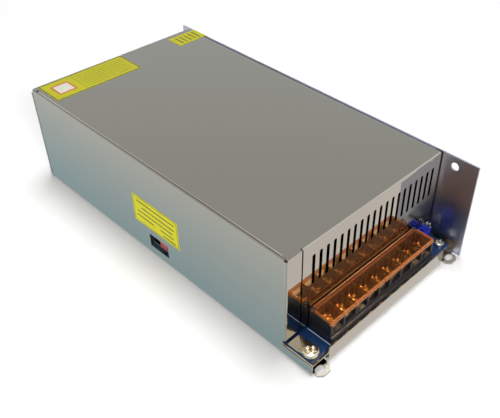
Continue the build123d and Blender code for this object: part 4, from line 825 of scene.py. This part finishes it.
def pan_head(head, rise, shank, length):
    """Profile of a domed head over a shank: the dome is a quarter of an ellipse over an upright rim."""
    reach = np.linspace(0, 1, HEAD_ROWS)
    dome = RIM_SHARE + (1 - RIM_SHARE) * np.sqrt(1 - (DOME_REACH * reach) ** 2)
    top = np.stack([head * reach, rise * dome], axis=1)
    return np.vstack([top, [(head, 0), (shank, 0), (shank, -length), (0, -length)]])


def flat_head(head, depth, shank, length):
    """Profile of a countersunk head that ends level with its seat: a flat top over a cone."""
    reach = np.linspace(0, 1, HEAD_ROWS)
    top = np.stack([head * reach, 0 * reach], axis=1)
    return np.vstack([top, [(shank, -depth), (shank, -length), (0, -length)]])


print("head:", HEAD_ROWS, "rows of", AROUND, "points")

# %% Cross recess
ARM_WIDTH, ARM_REACH, ARM_EASE = 0.13, 0.58, 0.1


def crossed(grid, head, depth):
    """
    Sinks a cross in the head's rows. A point sinks fully where it is nearer to an arm's middle line than
    the arm's half width and nearer to the axis than its reach, and less across the eased border.
    """
    x, y, z = np.moveaxis(grid, -1, 0)
    across, along_arm = np.minimum(abs(x), abs(y)), np.maximum(abs(x), abs(y))
    width, reach, ease = ARM_WIDTH * head, ARM_REACH * head, ARM_EASE * head
    in_arm = np.clip((width + ease - across) / ease, 0, 1)
    in_reach = np.clip((reach + ease - along_arm) / ease, 0, 1)
    on_top = np.arange(grid.shape[0])[:, None] < HEAD_ROWS
    return np.stack([x, y, z - depth * in_arm * in_reach * on_top], axis=-1)


def screw_set(name, node, grid, seats, axis, material):
    """Screws of one kind, one at each seat in millimetres, in place of a solid's plain ones."""
    screws = surface(name, placed(grid, seats, axis), material, node)
    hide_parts(node)


print("a cross is", 2 * ARM_REACH, "of a head's radius from end to end")

# %% Terminal screws
POLES = 9
TERMINAL_RISE, TERMINAL_SHANK, TERMINAL_RECESS = 2.4, 1.85, 1.1
low, high = box_mm("terminal_screws")
head = (high[1] - low[1]) / 2
seat_z = high[2] - TERMINAL_RISE
seats = [(x, low[1] + head, seat_z) for x in np.linspace(low[0] + head, high[0] - head, POLES)]
grid = turned(pan_head(head, TERMINAL_RISE, TERMINAL_SHANK, high[2] - low[2] - TERMINAL_RISE))
grid = crossed(grid, head, TERMINAL_RECESS)
screw_set("terminal_screw_heads", "terminal_screws", grid, seats, (0, 0, 1), nickel)
print("terminal screws:", len(seats), "with heads", round(2 * head, 2), "mm wide")

# %% Screw of the grounding clip
M4_SHANK = 1.95
CLIP_RISE, CLIP_LENGTH, CLIP_RECESS = 2.2, 6.5, 1.2
low, high = box_mm("clip_screw")
head = (high[0] - low[0]) / 2
seat = ((low[0] + high[0]) / 2, (low[1] + high[1]) / 2, high[2] - CLIP_RISE)
grid = crossed(turned(pan_head(head, CLIP_RISE, M4_SHANK, CLIP_LENGTH)), head, CLIP_RECESS)
screw_set("clip_screw_head", "clip_screw", grid, [seat], (0, 0, 1), nickel)
print("clip screw: head", round(2 * head, 2), "mm wide")

# %% Board screws
M3_SHANK, M3_HEAD, M3_RISE, M3_RECESS = 1.45, 2.8, 2.0, 0.9
# their places in the plan, in millimetres
BOARD_SCREWS = [
    (54.9, -112.0), (-54.5, -46.0), (49.0, -60.5), (-16.0, -10.0), (-30.0, 78.0), (30.0, 78.0), (54.0, 60.0)
]
low, high = box_mm("board_screws")
seat_z = high[2] - M3_RISE
grid = crossed(turned(pan_head(M3_HEAD, M3_RISE, M3_SHANK, seat_z - low[2])), M3_HEAD, M3_RECESS)
seats = [(x, y, seat_z) for x, y in BOARD_SCREWS]
screw_set("board_screw_heads", "board_screws", grid, seats, (0, 0, 1), zinc_steel)
print("board screws:", len(seats))

# %% Case screws
FLUSH_HEAD, FLUSH_DEPTH, FLUSH_RECESS = 2.7, 1.0, 0.8
COVER_SCREWS_Y = (-69.7, 0.0, 77.0)
low, high = box_mm("cover_screws")
grid = turned(flat_head(FLUSH_HEAD, FLUSH_DEPTH, M3_SHANK, high[0] - low[0]))
grid = crossed(grid, FLUSH_HEAD, FLUSH_RECESS)
seats = [(high[0], y, (low[2] + high[2]) / 2) for y in COVER_SCREWS_Y]
screw_set("cover_screw_heads", "cover_screws", grid, seats, (1, 0, 0), zinc_steel)

low, high = box_mm("rear_screws")
seat_y = high[1] - M3_RISE
grid = crossed(turned(pan_head(M3_HEAD, M3_RISE, M3_SHANK, seat_y - low[1])), M3_HEAD, M3_RECESS)
seats = [((low[0] + high[0]) / 2, seat_y, z) for z in (low[2] + M3_HEAD, high[2] - M3_HEAD)]
screw_set("rear_screw_heads", "rear_screws", grid, seats, (0, 1, 0), zinc_steel)
print("case screws:", len(COVER_SCREWS_Y) + len(seats))

# %% [markdown]
# ## Fan bolts and nuts
# Four long bolts pass through the rear wall and the fan's frame, and a nut holds each in front. A nut
# is turned as a ring, and its outside is then pushed out to a hexagon, so it needs no second method.


# %% Bolts through the fan
def nut(flats, depth, bore):
    """A ring whose outside radius is half the flats over the cosine of the angle from the nearest flat."""
    from_flat = np.mod(ANGLES + math.pi / 6, math.pi / 3) - math.pi / 6
    grid = turned([(bore, 0), (1, 0), (1, depth), (bore, depth), (bore, 0)])
    grid[1:3, :, :2] *= (flats / 2 / np.cos(from_flat))[None, :, None]
    return grid


BOLT_HEAD, BOLT_RISE, BOLT_RECESS = 4.0, 2.2, 1.2
NUT_FLATS, NUT_DEPTH, NUT_BORE = 7.0, 3.2, 2.0
FAN_FRONT_Y = 91.0
low, high = box_mm("fan_screws")
seat_y = high[1] - BOLT_RISE
bolt_x = (low[0] + BOLT_HEAD, high[0] - BOLT_HEAD)
bolt_z = (low[2] + BOLT_HEAD, high[2] - BOLT_HEAD)
corners = [(x, z) for x in bolt_x for z in bolt_z]
grid = crossed(turned(pan_head(BOLT_HEAD, BOLT_RISE, M4_SHANK, seat_y - low[1])), BOLT_HEAD, BOLT_RECESS)
screw_set("fan_bolts", "fan_screws", grid, [(x, seat_y, z) for x, z in corners], (0, 1, 0), zinc_steel)
nut_seats = [(x, FAN_FRONT_Y - NUT_DEPTH, z) for x, z in corners]
nuts = placed(nut(NUT_FLATS, NUT_DEPTH, NUT_BORE), nut_seats, (0, 1, 0))
surface("fan_nuts", nuts, zinc_steel, "fan_screws")
print("bolts and nuts:", len(corners))

# %% [markdown]
# ## Printing on the board and on the stickers
# The board carries thin white printed lines round the block. The stickers are plain fields: the long
# one has a white panel with a red frame, and thin rules stand for lines of print. Ink could be painted
# in a material, but then it would blur at its edges, so each line is a low bar of its own. Real ink is
# thinner still; 0.03 mm keeps it clear of the sheet below.


# %% Printed bars
def bars(name, spans, material, like):
    """
    Low boxes from spans of (low corner, high corner) in millimetres. Each is four rows of four points:
    its centre at the foot, its corners at the foot, its corners at the top and its centre at the top.
    """
    spans = np.asarray(spans, float)
    low, high = spans[:, 0], spans[:, 1]
    ring = np.array([(0, 0), (1, 0), (1, 1), (0, 1)], float)
    centre = (low[:, None, :2] + high[:, None, :2]) / 2
    edge = low[:, None, :2] + ring * (high - low)[:, None, :2]
    rows = []
    for level, plan in ((0, centre + 0 * edge), (0, edge), (1, edge), (1, centre + 0 * edge)):
        height = (low[:, 2] + level * (high - low)[:, 2])[:, None, None]
        rows.append(np.concatenate([plan, np.broadcast_to(height, plan.shape[:2] + (1,))], axis=-1))
    surface(name, np.stack(rows, axis=1) * MM, material, like, smooth=False)


# screen-printed and offset inks: flat and even, a little duller than the board's mask
white_ink = moulded("white screen ink", "#DFE3E6", roughness=0.55, texture_mm=0.2, depth_mm=0.002)
red_ink = moulded("red sticker ink", "#C8501E", roughness=0.5, texture_mm=0.2, depth_mm=0.002)
black_ink = moulded("black sticker ink", "#2A2A18", roughness=0.5, texture_mm=0.2, depth_mm=0.002)
olive_ink = moulded("olive sticker ink", "#7C7A14", roughness=0.6, texture_mm=0.2, depth_mm=0.002)
white_panel = moulded("white sticker panel", "#D9D6C6", roughness=0.5, texture_mm=0.3, depth_mm=0.003)
print("materials in all:", len(bpy.data.materials))

# %% White lines on the board
INK, LINE = 0.03, 0.35
board_top = box_mm("main_board")[1][2]
block_low, block_high = box_mm("terminal_block")
# how far the lines lie outside the block's ends, and inside its front and back
LEFT_GAP, RIGHT_GAP, FRONT_INSET, BACK_INSET = 1.4, 0.8, 0.2, 0.5
left_x, right_x = block_low[0] - LEFT_GAP, block_high[0] + RIGHT_GAP
front_y, back_y = block_low[1] + FRONT_INSET, block_high[1] - BACK_INSET
lines = [
    ((left_x, front_y, board_top), (left_x + LINE, back_y, board_top + INK)),
    ((right_x, front_y, board_top), (right_x + LINE, back_y, board_top + INK)),
    ((left_x, front_y - LINE, board_top), (right_x + LINE, front_y, board_top + INK)),
]
bars("board_print", lines, white_ink, "main_board")
print("lines on the board:", len(lines))


# %% Panel of the long sticker
def frame_of(x0, y0, x1, y1, width, z, rise):
    """Four bars that frame a rectangle: two along x over its whole length, two along y between them."""
    return [
        ((x0, y0, z), (x1, y0 + width, z + rise)),
        ((x0, y1 - width, z), (x1, y1, z + rise)),
        ((x0, y0 + width, z), (x0 + width, y1 - width, z + rise)),
        ((x1 - width, y0 + width, z), (x1, y1 - width, z + rise)),
    ]


PANEL_STARTS, PANEL_ENDS, PANEL_MARGIN, PANEL_FRAME = 5.0, 17.0, 5.5, 1.0
low, high = box_mm("top_label")
top = high[2]
panel_low = (low[0] + PANEL_STARTS, low[1] + PANEL_MARGIN, top)
panel_high = (low[0] + PANEL_ENDS, high[1] - PANEL_MARGIN, top + INK)
bars("sticker_panel", [(panel_low, panel_high)], white_panel, "top_label")
red_frame = frame_of(*panel_low[:2], *panel_high[:2], PANEL_FRAME, top + INK, INK)
bars("sticker_frame", red_frame, red_ink, "top_label")
print("panel:", np.round(np.subtract(panel_high, panel_low), 2), "mm")

# %% Rules and outlines on the top
RULES_START, RULES_END, RULES_FRONT, RULES_BACK = 24.0, 3.0, 3.5, 4.0
RULE, RULES = 0.45, 7
DIVIDER_STARTS, DIVIDER_ENDS, DIVIDER_MARGIN = 21.5, 21.9, 2.0
rules = [
    ((low[0] + RULES_START, y, top), (high[0] - RULES_END, y + RULE, top + INK))
    for y in np.linspace(low[1] + RULES_FRONT, high[1] - RULES_BACK, RULES)
]
rules += [
    (
        (low[0] + DIVIDER_STARTS, low[1] + DIVIDER_MARGIN, top),
        (low[0] + DIVIDER_ENDS, high[1] - DIVIDER_MARGIN, top + INK),
    )
]
bars("sticker_rules", rules, olive_ink, "top_label")

OUTLINE_INSET, OUTLINE = 0.3, 0.5
SEAL_STARTS, SEAL_ENDS, SEAL_MARGIN, SEAL_BAR, SEAL_BARS = 4.0, 4.5, 2.0, 0.8, 5
outlines = frame_of(*(low[:2] + OUTLINE_INSET), *(high[:2] - OUTLINE_INSET), OUTLINE, top, INK)
seal_low, seal_high = box_mm("seal_label")
outlines += [
    ((x, seal_low[1] + SEAL_MARGIN, top), (x + SEAL_BAR, seal_high[1] - SEAL_MARGIN, top + INK))
    for x in np.linspace(seal_low[0] + SEAL_STARTS, seal_high[0] - SEAL_ENDS, SEAL_BARS)
]
bars("sticker_outlines", outlines, black_ink, "top_label")
print("bars on the top:", len(rules) + len(outlines))

# %% Rules and outline on the side
SIDE_RULE, SIDE_INSET, SIDE_OUTLINE = 0.7, 0.6, 0.3
# each rule's height, and how far it stays from the sticker's front and back edge
SIDE_RULES = (
    (35.0, 3.0, 4.0), (31.4, 3.0, 8.0), (28.0, 5.0, 4.0),
    (24.6, 22.0, 3.0), (24.6, 4.0, 24.0), (21.6, 3.0, 26.0),
)
low, high = box_mm("side_label")
face = low[0]
side_spans = [
    ((face - INK, low[1] + start, z), (face, high[1] - end, z + SIDE_RULE)) for z, start, end in SIDE_RULES
]
# the frame is worked out on its side, as (y, z, x), and each corner is then put upright
lying = frame_of(*(low[1:] + SIDE_INSET), *(high[1:] - SIDE_INSET), SIDE_OUTLINE, face - INK, INK)
side_spans += [tuple((x, y, z) for y, z, x in span) for span in lying]
bars("side_sticker_rules", side_spans, black_ink, "side_label")
print("bars on the side:", len(side_spans))

# %% [markdown]
# ## Solids without a finish
# No solid may be left without a finish, so the solids that have none are listed.

# %% Solids without a finish
undressed = [name for name, node in frame["nodes"].items() if not node.data.materials]
print("solids without a finish:", undressed)
